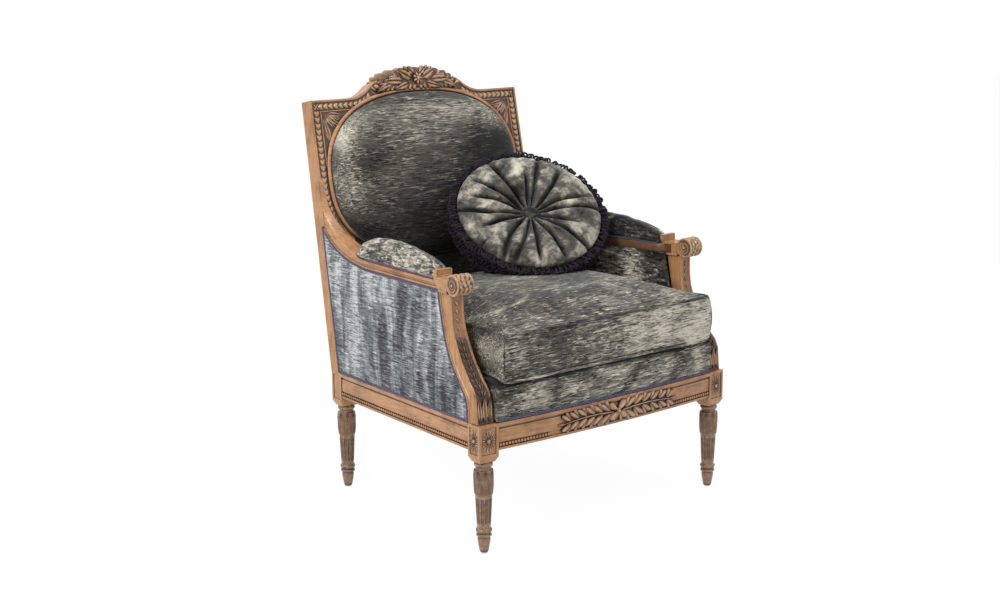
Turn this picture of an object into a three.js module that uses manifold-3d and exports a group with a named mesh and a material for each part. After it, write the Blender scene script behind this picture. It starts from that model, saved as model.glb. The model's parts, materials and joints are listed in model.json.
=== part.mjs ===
// An upholstered armchair with closed sides: a carved show-wood frame with a raked oval back,
// padded arms, a loose box seat cushion and a loose round cushion leaning in the right-hand corner.
// Millimetres, +Z up, the front of the chair faces -Y and its left side is -X.
import * as THREE from "three";
import { mergeVertices } from "three/addons/utils/BufferGeometryUtils.js";
import Module from "manifold-3d";

const wasm = await Module();
wasm.setup();

// Clearances and drawing steps
const fitGap = 0.3;
const overrun = 20;
const reach = 1000;
const weldDistance = 0.0005;
const arcSteps = 5;

// Plan of the four legs, axis to axis
const frontLegSpan = 720;
const rearLegSpan = 624;
const legPitch = 587;

// Turned legs, from the floor to the underside of the corner block
const legLength = 210;
const legRadius = 23;
const leafRelief = 2.2;
const fluteDepth = 2.4;
const leafCount = 8;
const fluteCount = 12;
const ornamentSteps = 3;
const footSides = 16;
const glideRadius = 8;
const glideThickness = 3;
const nailRadius = 1.6;
const nailLength = 16;
const nailSides = 6;

// Corner blocks and seat rails
const blockWidth = 52;
const blockDepth = 44;
const blockChamfer = 12;
const blockPanelBorder = 7;
const blockPanelDepth = 1.6;
const railBottom = 235;
const railTop = 296;
const railThickness = 30;
const railSetback = 1;
const railRelief = 3;
const frontRailBow = 13;
const railSteps = 10;
const tenonLength = 20;
const tenonThickness = 10;
const tenonHeight = 38;

// Corner braces and their screws
const braceReach = 95;
const braceHeight = 36;
const screwRadius = 3;
const screwHeadRadius = 6;
const screwHeadLength = 3;
const screwBite = 16;
const screwSides = 10;

// Raked back frame, heights measured up its slope from the top of the seat rails
const backRake = THREE.MathUtils.degToRad(10.9);
const backThickness = 33;
const stileFootDepth = 44;
const shoulderDrawIn = 11;
const shoulderHeight = 666;
const shoulderFlat = 112;
const crestRise = 56;
const crestSteps = 9;
const stileWidth = 44;
const ovalBorder = 35;
const ovalHalfHeight = 203;
const ovalDrop = 197;
const ovalPower = 2.4;
const ovalSteps = 48;
const ovalMouldingWidth = 11;
const ovalMouldingRelief = 4;
const edgeFilletWidth = 6;
const edgeFilletRelief = 2.4;
const stileEarHalfHeight = 110;
const lowerRailDepth = 70;
const rearRebate = 9;
const rearPanelMargin = 24;
const crestTenonHeight = 40;

// Carved crest over the middle of the back
const carvingHalfWidth = 134;
const carvingTopRise = 72;
const carvingEndRise = 28;
const carvingBottomRise = 18;
const carvingRelief = 13;
const carvingLobes = 11;
const carvingLobeDepth = 6;
const carvingEdge = 4;
const carvingFullness = 0.8;
const lobeSteps = 4;

// Arm supports, in the plane of each side
const supportFootFront = -12;
const supportFootRear = 20;
const supportHeadFront = 85;
const supportHeadRear = 130;
const supportFootWidth = 48;
const supportHeadWidth = 36;
const supportEdge = 3;
const supportSteps = 12;
const stubSize = 14;
const stubLength = 9;

// Arm rails, collars and scrolls
const armTop = 596;
const armUnderside = 574;
const armWidth = 50;
const armEdge = 2.5;
const armSweepStart = 441;
const armSweepRun = 215;
const armSweepRise = 172;
const underSweepRun = 200;
const underSweepRise = 75;
const sweepSteps = 12;
const armTailWidth = 28;
const collarLength = 34;
const collarWidth = 43;
const collarProud = 5;
const collarOverhang = 1.5;
const stopFront = 136;
const stopLength = 12;
const stopHeight = 21;
const scrollRadius = 24;
const scrollWidth = 43;
const scrollCentre = 74;
const scrollDrop = 5;
const scrollOverhang = 2;
const scrollSides = 16;

// Arm pads
const armPadRear = 494;
const armPadHeight = 57;
const armPadOverhang = 2;
const armPadColumns = 14;
const armPadRows = 6;

// Upholstered side panels and the rails behind them
const panelThickness = 9;
const panelInset = 1;
const panelCrown = 5;
const panelRearOverlap = 13;
const insidePanelThickness = 12;
const insidePanelCrown = 8;
const panelColumns = 8;
const panelRows = 5;
const stuffingRailHeight = 24;
const stuffingRailRise = 96;

// Seat platform, webbing and dust cover
const webbingThickness = 2;
const webbingWidth = 50;
const webbingStrips = 5;
const webbingHold = 12;
const webbingMargin = 5;
const platformTop = 386;
const platformSetback = 3;
const platformSwell = 5;
const platformColumns = 8;
const dustCoverThickness = 1.4;
const dustCoverMargin = 8;

// Back upholstery
const backPadCrown = 70;
const backWebbingWidth = 45;
const backWebbingStrips = 3;
const rearPanelEdge = 3;
const liningThickness = 12;
const liningDepth = 3;

// Loose seat cushion
const cushionFront = -42;
const cushionSeamTop = 492;
const cushionCrown = 40;
const cushionSideClearance = 2;
const cushionBackClearance = 4;
const cushionSwell = 6;
const cushionDrawIn = 4;
const cushionColumns = 12;
const cushionRows = 4;

// Loose round cushion, placed by the middle of its pleated face
const roundRadius = 180;
const roundThickness = 100;
const roundCrown = 20;
const roundBackCrown = 14;
const roundSwell = 4;
const roundTaper = 15;
const roundPleats = 16;
const stepsPerPleat = 3;
const pleatDepth = 7;
const roundFaceX = 122;
const roundFaceY = 396;
const roundFaceZ = 667;
const roundTilt = THREE.MathUtils.degToRad(50);
const roundTurn = THREE.MathUtils.degToRad(25);
const roundClearance = 1.5;
const buttonRadius = 16;
const buttonThickness = 9;
const buttonSides = 16;
const fringeWidth = 9;
const fringePinch = 3;

// Outlines as shares of the sizes that they follow: first along or up, then out
const collarShares = [
  [0.62, 0.8], [0.655, 0.9], [0.75, 0.92], [0.84, 1], [0.89, 0.96], [0.915, 0.78], [0.945, 0.78],
  [0.955, 0.9], [0.985, 0.88], [1.02, 0.74],
];
const shaftShares = [[0.26, 0.68], [0.33, 0.7], [0.345, 0.71], [0.57, 0.8], [0.64, 0.82]];
const footShares = [
  [0, 0.42], [0.05, 0.5], [0.13, 0.63], [0.165, 0.57], [0.175, 0.74], [0.205, 0.74], [0.218, 0.64],
  [0.23, 0.78], [0.255, 0.78], [0.275, 0.66],
];
const leafSpanShare = [0.64, 0.9];
const fluteSpanShare = [0.34, 0.58];
const crestShares = [
  [0, 0], [0.12, 0.04], [0.26, 0.28], [0.38, 0.62], [0.55, 0.84], [0.8, 0.98], [1, 1],
];
const railFaceShares = [
  [0, 0], [0.09, 0], [0.11, -1], [0.26, -1], [0.28, -0.35], [0.77, -0.35], [0.79, -1], [0.83, -1],
  [0.85, 0], [0.89, 0.4], [0.97, 0.4], [1, 0],
];
const carvingFootShares = [[0.9, 1.3], [0, 1], [-0.9, 1.3]];
const supportFrontShares = [[0, 0], [0.09, 0.235], [0.34, 0.345], [0.69, 0.52], [0.95, 0.74], [1, 1]];
const supportRearShares = [
  [0, 0], [0.06, 0.18], [0.3, 0.305], [0.58, 0.455], [0.79, 0.645], [0.92, 0.84], [1, 1],
];
const armSweepShares = [
  [0, 0], [0.15, 0.01], [0.34, 0.08], [0.63, 0.235], [0.845, 0.465], [0.945, 0.7], [0.99, 1],
];
const underSweepShares = [[0, 0], [0.375, 0.147], [0.705, 0.453], [1, 1]];
const armPadShares = [
  [0, 0.26], [0.05, 0.5], [0.18, 0.72], [0.37, 0.91], [0.6, 1], [0.8, 0.88], [0.95, 0.56], [1, 0.14],
];
const armPadWallShare = 0.3;
const armPadEndShare = 0.12;
const armPadEndPower = 6;
const crownPower = 3;
const easedShare = 1 / 3;
const scrollShares = [[1, 0], [1, 0.2], [0.93, 0.27], [0.93, 0.78], [1, 0.85], [0.95, 1], [0, 0.94]];
const neckShares = [[0.7, 0.6], [0, 0.8], [0, -0.8], [0.7, -0.75]];
const backDomeShares = [[1, 0], [0.97, 0.3], [0.86, 0.55], [0.66, 0.75], [0.4, 0.9], [0.19, 0.97], [0, 1]];
const faceDomeShares = [
  [0.9, 0.55], [0.75, 0.88], [0.55, 1], [0.35, 0.88], [0.2, 0.55], [0.1, 0.12], [0, 0.1],
];
const pleatShares = [
  [0, 0], [0.1, 0], [0.2, 0.8], [0.35, 1], [0.55, 0.9], [0.75, 0.5], [0.9, 0.15], [1.1, 0],
];
const rearDomeShares = [[0.3, 0.12], [0.9, 0.3], [1, 0.6], [0.6, 0.85]];
const rimShares = [[1, 0, 1], [0.7, 0.6, 0.3], [0.35, 1, 0], [0.1, 0.5, 0], [0, 0, 0]];
const buttonShares = [[0, 0], [0, 0.8], [0.35, 1], [0.7, 0.85], [1, 0.4], [1, 0]];

// Values worked out from the sizes above
const sideAngle = Math.atan2((frontLegSpan - rearLegSpan) / 2, legPitch);
const sideRun = Math.hypot((frontLegSpan - rearLegSpan) / 2, legPitch);
const sideFace = blockWidth / 2;
const backBaseY = legPitch - blockDepth / 2;
const backFootHalfWidth = rearLegSpan / 2 + sideFace;
const shoulderHalfWidth = backFootHalfWidth - shoulderDrawIn;
const stileInside = shoulderHalfWidth - stileWidth + shoulderDrawIn / 2;
const ovalHalfWidth = shoulderHalfWidth - ovalBorder;
const ovalCentreHeight = shoulderHeight - ovalDrop;
const crestHeight = shoulderHeight + crestRise;
const carvingTop = shoulderHeight + carvingTopRise;
const carvingEnd = shoulderHeight + carvingEndRise;
const carvingBottom = shoulderHeight + carvingBottomRise;
const earTop = ovalCentreHeight + stileEarHalfHeight;
const earBottom = ovalCentreHeight - stileEarHalfHeight;
const lowerRailBottom = ovalCentreHeight - ovalHalfHeight - lowerRailDepth;
const armInside = sideFace - armWidth;
const collarRear = supportHeadRear - fitGap;
const collarBottom = armUnderside - collarProud;
const collarOutside = sideFace + collarOverhang;
const collarInside = collarOutside - collarWidth;
const stopRear = stopFront + stopLength;
const scrollHeight = armTop - scrollDrop;
const supportTop = collarBottom - fitGap;
const webbingTop = railTop + fitGap + webbingThickness;
const seatFloor = webbingTop + fitGap;
const rearRise = (backThickness * Math.sin(backRake) + seatFloor - railTop) / Math.cos(backRake);
const sideFrame = new THREE.Matrix4().makeRotationZ(sideAngle).setPosition(frontLegSpan / 2, 0, 0);
const chairToSide = sideFrame.clone().invert();
const backFrame = new THREE.Matrix4().makeRotationX(-backRake).setPosition(0, backBaseY, railTop);
const backToSide = chairToSide.clone().multiply(backFrame);

// Depth in the chair of the back's front plane at a height above the floor
const backPlaneY = (z) => backBaseY + (z - railTop) * Math.tan(backRake);
// Half-width of the chair at a depth, along a line set out from the leg axes
const sideX = (out, y) => frontLegSpan / 2 + out / Math.cos(sideAngle) - y * Math.tan(sideAngle);
// Distance along a side, on a line set out from the leg axes, that lies at a depth in the chair
const alongSide = (y, out) => (y - out * Math.sin(sideAngle)) / Math.cos(sideAngle);
const mix = (a, b, t) => a + (b - a) * t;
const crowned = (t) => 1 - Math.abs(t) ** crownPower;

// Finishes
const finish = (color, roughness, metalness = 0) => () =>
  new THREE.MeshStandardMaterial({ color, roughness, metalness });
const wood = finish(0x8a5a35, 0.45);
const innerWood = finish(0xa98a63, 0.8);
const velvet = finish(0x4a4a42, 0.8);
const paleVelvet = finish(0x74797a, 0.7);
const purpleFringe = finish(0x2b2230, 0.95);
const webbingCloth = finish(0x9a8a68, 0.9);
const blackCloth = finish(0x1d1c1b, 0.95);
const steel = finish(0x8d8f92, 0.35, 1);

// A closed geometry as a solid, with its shared vertices merged and its empty triangles dropped
function solidOf(geometry) {
  const bare = geometry.index ? geometry.toNonIndexed() : geometry.clone();
  bare.deleteAttribute("normal");
  bare.deleteAttribute("uv");
  const merged = mergeVertices(bare, weldDistance);
  const corners = merged.index.array;
  const kept = [];
  for (let i = 0; i < corners.length; i += 3) {
    const [a, b, c] = [corners[i], corners[i + 1], corners[i + 2]];
    if (a !== b && b !== c && c !== a) kept.push(a, b, c);
  }
  const vertProperties = merged.attributes.position.array;
  return new wasm.Manifold(new wasm.Mesh({ numProp: 3, vertProperties, triVerts: new Uint32Array(kept) }));
}

function geometryOf(solid) {
  const { vertProperties, triVerts } = solid.getMesh();
  const geometry = new THREE.BufferGeometry();
  geometry.setAttribute("position", new THREE.BufferAttribute(new Float32Array(vertProperties), 3));
  geometry.setIndex(new THREE.BufferAttribute(new Uint32Array(triVerts), 1));
  return geometry;
}

const joined = (...pieces) => geometryOf(pieces.map(solidOf).reduce((a, b) => a.add(b)));
const cut = (piece, ...tools) =>
  geometryOf(tools.map(solidOf).reduce((a, b) => a.subtract(b), solidOf(piece)));
const common = (a, b) => geometryOf(solidOf(a).intersect(solidOf(b)));
const placed = (geometry, matrix) => geometry.clone().applyMatrix4(matrix);
const moved = (geometry, x, y, z) => geometry.clone().translate(x, y, z);
const atRearLeg = (geometry) => moved(geometry, 0, sideRun, 0);

// The same geometry on the other side of the chair, with its faces still pointing out
function mirrored(geometry) {
  const other = (geometry.index ? geometry.toNonIndexed() : geometry.clone()).scale(-1, 1, 1);
  const { array } = other.attributes.position;
  for (let i = 0; i < array.length; i += 9) {
    for (let k = 0; k < 3; k++) [array[i + 3 + k], array[i + 6 + k]] = [array[i + 6 + k], array[i + 3 + k]];
  }
  return other;
}

const shapeOf = (points) => new THREE.Shape(points.map(([x, y]) => new THREE.Vector2(x, y)));

function box(x0, x1, y0, y1, z0, z1) {
  const block = new THREE.BoxGeometry(x1 - x0, y1 - y0, z1 - z0);
  return block.translate((x0 + x1) / 2, (y0 + y1) / 2, (z0 + z1) / 2);
}

// A flat outline given a thickness, with its edges eased by a bevel inside the outline
function alongZ(shape, from, to, { edge = 0, edgeSteps = 1, steps = 1 } = {}) {
  const geometry = new THREE.ExtrudeGeometry(shape, {
    depth: to - from - 2 * edge,
    steps,
    bevelEnabled: edge > 0,
    bevelThickness: edge,
    bevelSize: edge,
    bevelOffset: -edge,
    bevelSegments: edgeSteps,
    curveSegments: arcSteps,
  });
  return geometry.translate(0, 0, from + edge);
}

const axisX = new THREE.Vector3(1, 0, 0);
const axisY = new THREE.Vector3(0, 1, 0);
const axisZ = new THREE.Vector3(0, 0, 1);
const sideways = new THREE.Matrix4().makeBasis(axisY, axisZ, axisX);
const lengthways = new THREE.Matrix4().makeBasis(axisX, axisZ, axisY.clone().negate());

// An outline in depth and height, carried across the chair
const alongX = (shape, from, to, options) => alongZ(shape, from, to, options).applyMatrix4(sideways);
// An outline in width and height, carried from front to back
const alongY = (shape, from, to, options) => alongZ(shape, -to, -from, options).applyMatrix4(lengthways);

// Moves each vertex by a rule that takes its x, y and z
function reshaped(geometry, rule) {
  const { position } = geometry.attributes;
  for (let i = 0; i < position.count; i++) {
    position.setXYZ(i, ...rule(position.getX(i), position.getY(i), position.getZ(i)));
  }
  return geometry;
}

// A grid block whose vertices, each coordinate from -1 to 1, are placed by a rule
const gridBlock = (columns, rows, layers, rule) =>
  reshaped(new THREE.BoxGeometry(2, 2, 2, columns, rows, layers), rule);

// Points of a smooth curve through shares of a run and a rise
function sweptPoints(shares, x0, y0, run, rise, steps) {
  const through = shares.map(([a, b]) => new THREE.Vector2(x0 + a * run, y0 + b * rise));
  return new THREE.SplineCurve(through).getPoints(steps).map((p) => [p.x, p.y]);
}

// The point at a share of the length of a line through points
function pointAlong(points, share) {
  const lengths = [0];
  for (let i = 1; i < points.length; i++) {
    const [[x0, y0], [x1, y1]] = [points[i - 1], points[i]];
    lengths.push(lengths[i - 1] + Math.hypot(x1 - x0, y1 - y0));
  }
  const target = share * lengths[lengths.length - 1];
  const i = Math.max(1, lengths.findIndex((length) => length >= target - weldDistance));
  const t = (target - lengths[i - 1]) / (lengths[i] - lengths[i - 1]);
  return [mix(points[i - 1][0], points[i][0], t), mix(points[i - 1][1], points[i][1], t)];
}

// The value at a place in a list of [value, place] shares
function shareAt(shares, place) {
  const i = Math.max(1, shares.findIndex((row) => row[0] >= place));
  const [[x0, y0], [x1, y1]] = [shares[i - 1], shares[i]];
  return mix(y0, y1, (place - x0) / (x1 - x0));
}

// A round solid about Z from rows of [radius, height], which start and end on the axis
const revolved = (rows, sides) =>
  new THREE.LatheGeometry(rows.map(([r, z]) => new THREE.Vector2(r, z)), sides).rotateX(Math.PI / 2);

// A turned length given as shares of a height and a radius; carve returns a change of radius
function turned(shares, foot, height, radius, sides, carve = () => 0) {
  const rows = shares.map(([up, out]) => [radius * out, foot + height * up]);
  const solid = revolved([[0, rows[0][1]], ...rows, [0, rows[rows.length - 1][1]]], sides);
  return reshaped(solid, (x, y, z) => {
    const r = Math.hypot(x, y);
    if (r < weldDistance) return [0, 0, z];
    const share = 1 + carve(Math.atan2(y, x), (z - foot) / height) / r;
    return [x * share, y * share, z];
  });
}

const within = (value, [low, high]) => value > low && value < high;

// Turned leg about its own axis: plain foot and rings, fluted shaft, leaf collar under the block
function turnedLeg() {
  const foot = glideThickness + fitGap;
  const rise = legLength - foot;
  const flute = (angle, up) =>
    within(up, fluteSpanShare) ? -fluteDepth * Math.max(0, Math.cos(fluteCount * angle)) : 0;
  const leaf = (angle, up) =>
    within(up, leafSpanShare) ? leafRelief * (Math.abs(Math.cos((leafCount / 2) * angle)) - 1) : 0;
  return joined(
    turned(footShares, foot, rise, legRadius, footSides),
    turned(shaftShares, foot, rise, legRadius, ornamentSteps * fluteCount, flute),
    turned(collarShares, foot, rise, legRadius, ornamentSteps * leafCount, leaf),
  );
}

// Nail-on glide under a foot, and the hole that its nail goes into
function glide() {
  const rim = glideThickness * easedShare;
  return revolved([
    [0, 0], [glideRadius - rim, 0], [glideRadius, rim], [glideRadius, glideThickness],
    [nailRadius, glideThickness], [nailRadius, nailLength], [0, nailLength],
  ], 2 * nailSides);
}

const nailHole = new THREE.CylinderGeometry(
  nailRadius + 2 * fitGap, nailRadius + 2 * fitGap, 2 * (nailLength + fitGap), 2 * nailSides,
).rotateX(Math.PI / 2);

// Square corner block with a chamfered underside, in the plane of its side
function cornerBlock(grow = 0) {
  const wide = sideFace + grow;
  const deep = blockDepth / 2 + grow;
  const heights = [legLength - grow, legLength + blockChamfer - grow, railTop + grow];
  return gridBlock(1, 1, 2, (x, y, z) => {
    const narrow = z < 0 ? blockChamfer / 2 : 0;
    return [x * (wide - narrow), y * (deep - narrow), heights[Math.round(z) + 1]];
  });
}

// Cutters for the sunk panels on the outer side face of a block, and on its front or rear face
const panelLow = legLength + blockChamfer + blockPanelBorder;
const panelHigh = railTop - blockPanelBorder;
const outerSunkPanel = box(
  sideFace - blockPanelDepth, sideFace + overrun,
  blockPanelBorder - blockDepth / 2, blockDepth / 2 - blockPanelBorder,
  panelLow, panelHigh,
);

function endSunkPanel(rearward) {
  const depths = [blockDepth / 2 - blockPanelDepth, blockDepth / 2 + overrun].map((y) => rearward * y);
  const [near, far] = depths.sort((a, b) => a - b);
  return box(blockPanelBorder - sideFace, sideFace - blockPanelBorder, near, far, panelLow, panelHigh);
}

// Moulded seat rail section: its outer face stands at a place and its body lies on one side of it
function railSection(place, side, grow) {
  const height = railTop - railBottom;
  const proud = (out) => place - side * (railRelief * out + grow);
  const face = railFaceShares.map(([up, out]) => [proud(out), railBottom + height * up]);
  face[0][1] -= grow;
  face[face.length - 1][1] += grow;
  const inside = place + side * (railThickness + grow);
  return shapeOf([...face, [inside, railTop + grow], [inside, railBottom - grow]]);
}

function tenon(x0, x1, y0, y1, grow) {
  const middle = (railBottom + railTop) / 2;
  return box(x0, x1, y0, y1, middle - tenonHeight / 2 - grow, middle + tenonHeight / 2 + grow);
}

// Tenons on the ends of the rails, in the plane of a side and about the leg that they enter
const sideTenonMiddle = sideFace - railSetback - railThickness / 2;
const crossTenonMiddle = blockDepth / 2 - railSetback - railThickness / 2;
const halfTenon = tenonThickness / 2;

function sideTenon(forward, grow) {
  const tip = blockDepth / 2 - tenonLength - grow;
  const ends = [forward * tip, forward * (blockDepth / 2 + overrun)].sort((a, b) => a - b);
  return tenon(sideTenonMiddle - halfTenon - grow, sideTenonMiddle + halfTenon + grow, ...ends, grow);
}

function crossTenon(middle, grow) {
  const tip = tenonLength - sideFace + grow;
  return tenon(-sideFace - overrun, tip, middle - halfTenon - grow, middle + halfTenon + grow, grow);
}

// Brace across an inner corner, before it is fitted to the block and the rails, and its screw
const braceBlank = alongZ(
  shapeOf([[0, 0], [0, braceReach], [-braceReach, 0]]), railBottom + fitGap, railBottom + braceHeight,
);
const screwTurn = new THREE.Matrix4().makeRotationZ((3 * Math.PI) / 4)
  .multiply(new THREE.Matrix4().makeRotationY(Math.PI / 2))
  .setPosition(0, 0, railBottom + braceHeight / 2);
const screwStart = Math.hypot(sideFace, blockDepth / 2) - screwBite;
const screwSeat = braceReach * Math.SQRT1_2 + fitGap;

const screwBlank = placed(revolved([
  [0, screwStart], [screwRadius, screwStart], [screwRadius, screwSeat], [screwHeadRadius, screwSeat],
  [screwHeadRadius, screwSeat + screwHeadLength / 2], [screwRadius, screwSeat + screwHeadLength],
  [0, screwSeat + screwHeadLength],
], screwSides), screwTurn);
const screwHoleRadius = screwRadius + 2 * fitGap;
const screwHole = placed(revolved([
  [0, screwStart - fitGap], [screwHoleRadius, screwStart - fitGap], [screwHoleRadius, screwSeat + overrun],
  [0, screwSeat + overrun],
], screwSides), screwTurn);
const quarterTurn = new THREE.Matrix4().makeRotationZ(Math.PI / 2);
const turnedToRear = (geometry) => atRearLeg(placed(geometry, quarterTurn));

// Side rail between the blocks of one side
function sideRailBlank(grow) {
  return alongY(railSection(sideFace - railSetback, -1, grow), 0, sideRun);
}

// Half-length of a cross rail, up to the inner corner of its blocks
const crossHalf = (span) =>
  span / 2 - sideFace * Math.cos(sideAngle) + (blockDepth / 2) * Math.sin(sideAngle);

// Front rail, bowed forwards between the front blocks
const frontRailY = railSetback - (blockDepth / 2) * Math.cos(sideAngle) - sideFace * Math.sin(sideAngle);
const frontBow = (x) => frontRailBow * (1 - (x / (frontLegSpan / 2 - sideFace)) ** 2);
const frontFaceY = (x) => frontRailY - frontBow(x);

function frontRailBlank(grow) {
  const half = crossHalf(frontLegSpan) + grow;
  const straight = alongX(railSection(frontRailY, 1, grow), -half, half, { steps: railSteps });
  return reshaped(straight, (x, y, z) => [x, y - frontBow(x), z]);
}

// Straight rear rail between the rear blocks
const rearRailY =
  legPitch + (blockDepth / 2) * Math.cos(sideAngle) - sideFace * Math.sin(sideAngle) - railSetback;
function rearRailBlank(grow) {
  const half = crossHalf(rearLegSpan) + grow;
  return alongX(railSection(rearRailY, -1, grow), -half, half);
}

const bothSides = (geometry) => [placed(geometry, sideFrame), mirrored(placed(geometry, sideFrame))];

// Fits a cross rail to its two blocks and gives it its tenons
function crossRail(blank, atLeg, middle) {
  const fitted = cut(blank, ...bothSides(atLeg(cornerBlock(fitGap))));
  return joined(fitted, ...bothSides(atLeg(crossTenon(middle, 0))));
}

function sideRail() {
  const fitted = cut(sideRailBlank(0), cornerBlock(fitGap), atRearLeg(cornerBlock(fitGap)));
  return joined(fitted, sideTenon(1, 0), atRearLeg(sideTenon(-1, 0)));
}

// Brace fitted to a block and to the rails that meet there
function cornerBrace(blank, hole, atLeg, crossBlank) {
  const crossRailHere = placed(crossBlank, chairToSide);
  return cut(blank, atLeg(cornerBlock(fitGap)), sideRailBlank(fitGap), crossRailHere, hole);
}

// Outline of the back at an inset from its edge, from a height up to the arched crest
function backOutline(inset, bottom) {
  const top = shoulderHeight - inset;
  const edge = (z) => mix(backFootHalfWidth, shoulderHalfWidth, z / shoulderHeight) - inset;
  const flat = shoulderHalfWidth - shoulderFlat - inset / 2;
  const arch = sweptPoints(crestShares, flat, top, -flat, crestHeight - shoulderHeight, crestSteps);
  const half = [[edge(bottom), bottom], [edge(top), top], ...arch];
  return shapeOf([...half, ...half.slice(0, -1).reverse().map(([x, z]) => [-x, z])]);
}

// A point of the oval about its own middle
function ovalPoint(grow, angle) {
  const share = (t) => Math.sign(t) * Math.abs(t) ** (2 / ovalPower);
  const [across, up] = [ovalHalfWidth + grow, ovalHalfHeight + grow];
  return [across * share(Math.cos(angle)), up * share(Math.sin(angle))];
}

function ovalShape(grow) {
  const angles = Array.from({ length: ovalSteps }, (_, i) => (i / ovalSteps) * 2 * Math.PI);
  return shapeOf(angles.map((angle) => ovalPoint(grow, angle)).map(([x, z]) => [x, ovalCentreHeight + z]));
}

function ringOf(outer, inner) {
  outer.holes.push(inner);
  return outer;
}

// The back frame in one piece, before it is parted into stiles, crest rail and lower rail
const ovalCutter = alongY(ovalShape(0), -reach, reach);
const backEdge = backOutline(0, -2 * overrun);
const edgeFillet = alongY(
  ringOf(backEdge, backOutline(edgeFilletWidth, -overrun)), -edgeFilletRelief, edgeFilletRelief,
);
const ovalMoulding = alongY(
  ringOf(ovalShape(ovalMouldingWidth), ovalShape(0)), -ovalMouldingRelief, ovalMouldingRelief,
  { edge: ovalMouldingRelief * easedShare },
);
const rearRebateCutter = alongY(
  backOutline(rearPanelMargin, -overrun), backThickness - rearRebate, backThickness + overrun,
);
const stileTaper = alongX(
  shapeOf([
    [0, 0], [stileFootDepth, 0], [backThickness, shoulderHeight], [backThickness, crestHeight],
    [0, crestHeight],
  ]),
  stileInside, backFootHalfWidth,
);
const backBlank = cut(
  joined(
    cut(joined(alongY(backOutline(0, 0), 0, backThickness), edgeFillet), ovalCutter),
    common(stileTaper, alongY(backOutline(0, 0), 0, stileFootDepth)),
    ovalMoulding,
  ),
  rearRebateCutter, ovalCutter,
);

// Region of the back that belongs to one stile: its own width, and an ear beside the oval
const stileRegion = joined(
  box(stileInside, reach, -overrun, reach, 0, reach),
  box(ovalHalfWidth / 2, stileInside + overrun, -overrun, reach, earBottom, earTop),
);

// Tenons of the crest rail and lower rail, which enter the stiles
const crestTenonBottom = earTop + overrun / 2;
function backTenon(bottom, grow) {
  const middle = (backThickness - rearRebate) / 2;
  return box(
    stileInside - overrun, stileInside + tenonLength + grow,
    middle - halfTenon - grow, middle + halfTenon + grow,
    bottom - grow, bottom + crestTenonHeight + grow,
  );
}
const lowerTenonBottom = lowerRailBottom + overrun / 2;

// Carved crest: a spray of lobes over the middle of the crest rail
function carvedCrest() {
  const points = [];
  for (let i = 0; i <= carvingLobes * lobeSteps; i++) {
    const angle = Math.PI * (1 - i / (carvingLobes * lobeSteps));
    const lobe = carvingLobeDepth * (Math.abs(Math.sin((i / lobeSteps) * Math.PI)) - 1);
    points.push([
      (carvingHalfWidth + lobe) * Math.cos(angle),
      carvingEnd + (carvingTop - carvingEnd + lobe) * Math.sin(angle) ** carvingFullness,
    ]);
  }
  for (const [across, down] of carvingFootShares) {
    points.push([carvingHalfWidth * across, mix(carvingEnd, carvingBottom, down)]);
  }
  return alongY(shapeOf(points), -carvingRelief, backThickness - carvingEdge, { edge: carvingEdge });
}

function crestRail() {
  const inside = stileInside - fitGap;
  const region = box(-inside, inside, -reach, reach, earTop + fitGap, reach);
  const tenons = [backTenon(crestTenonBottom, 0), mirrored(backTenon(crestTenonBottom, 0))];
  const carving = cut(carvedCrest(), rearRebateCutter);
  return cut(joined(common(backBlank, region), ...tenons, carving), ovalCutter);
}

function lowerBackRail() {
  const inside = stileInside - fitGap;
  const region = box(-inside, inside, -reach, reach, lowerRailBottom, earBottom - fitGap);
  const tenons = [backTenon(lowerTenonBottom, 0), mirrored(backTenon(lowerTenonBottom, 0))];
  return joined(common(backBlank, region), ...tenons);
}

// Everything behind the front plane of the back, in the plane of a side
const behindBack = placed(box(-reach, reach, -fitGap, reach, -reach, reach), backToSide);

// Arm support: an outline in the plane of the side, narrower at its head than at its foot
const supportFoot = railTop + fitGap;
const supportRise = supportTop - supportFoot;
const supportFront = sweptPoints(
  supportFrontShares, supportFootFront, supportFoot,
  supportHeadFront - supportFootFront, supportRise, supportSteps,
);
const supportRear = sweptPoints(
  supportRearShares, supportFootRear, supportFoot,
  supportHeadRear - supportFootRear, supportRise, supportSteps,
);

const footStub = (grow) => {
  const [x, y] = [sideFace - supportFootWidth / 2, (supportFootFront + supportFootRear) / 2];
  const half = stubSize / 2 + grow;
  return box(x - half, x + half, y - half, y + half, railTop - stubLength - grow, railTop + overrun);
};
const headStub = (grow) => {
  const [x, y] = [sideFace - supportHeadWidth / 2, (supportHeadFront + supportHeadRear) / 2];
  const half = stubSize / 2 + grow;
  const top = collarBottom + stubLength + grow;
  return box(x - half, x + half, y - half, y + half, supportTop - overrun, top);
};

function armSupport() {
  const outline = shapeOf([...supportFront, ...supportRear.slice().reverse()]);
  const blank = alongX(outline, sideFace - supportFootWidth, sideFace, { edge: supportEdge });
  const tapered = reshaped(blank, (x, y, z) => {
    const width = mix(supportFootWidth, supportHeadWidth, (z - supportFoot) / supportRise);
    return [sideFace - ((sideFace - x) * width) / supportFootWidth, y, z];
  });
  return joined(tapered, footStub(0), headStub(0));
}

// Arm outline lines, from the support back to the raked stile
const armSweep = sweptPoints(armSweepShares, armSweepStart, armTop, armSweepRun, armSweepRise, sweepSteps);
const underSweep = sweptPoints(
  underSweepShares, armSweepStart, armUnderside, underSweepRun, underSweepRise, sweepSteps,
);
const tailRear = alongSide(backPlaneY(armTop + armSweepRise), 0) + overrun;

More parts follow.
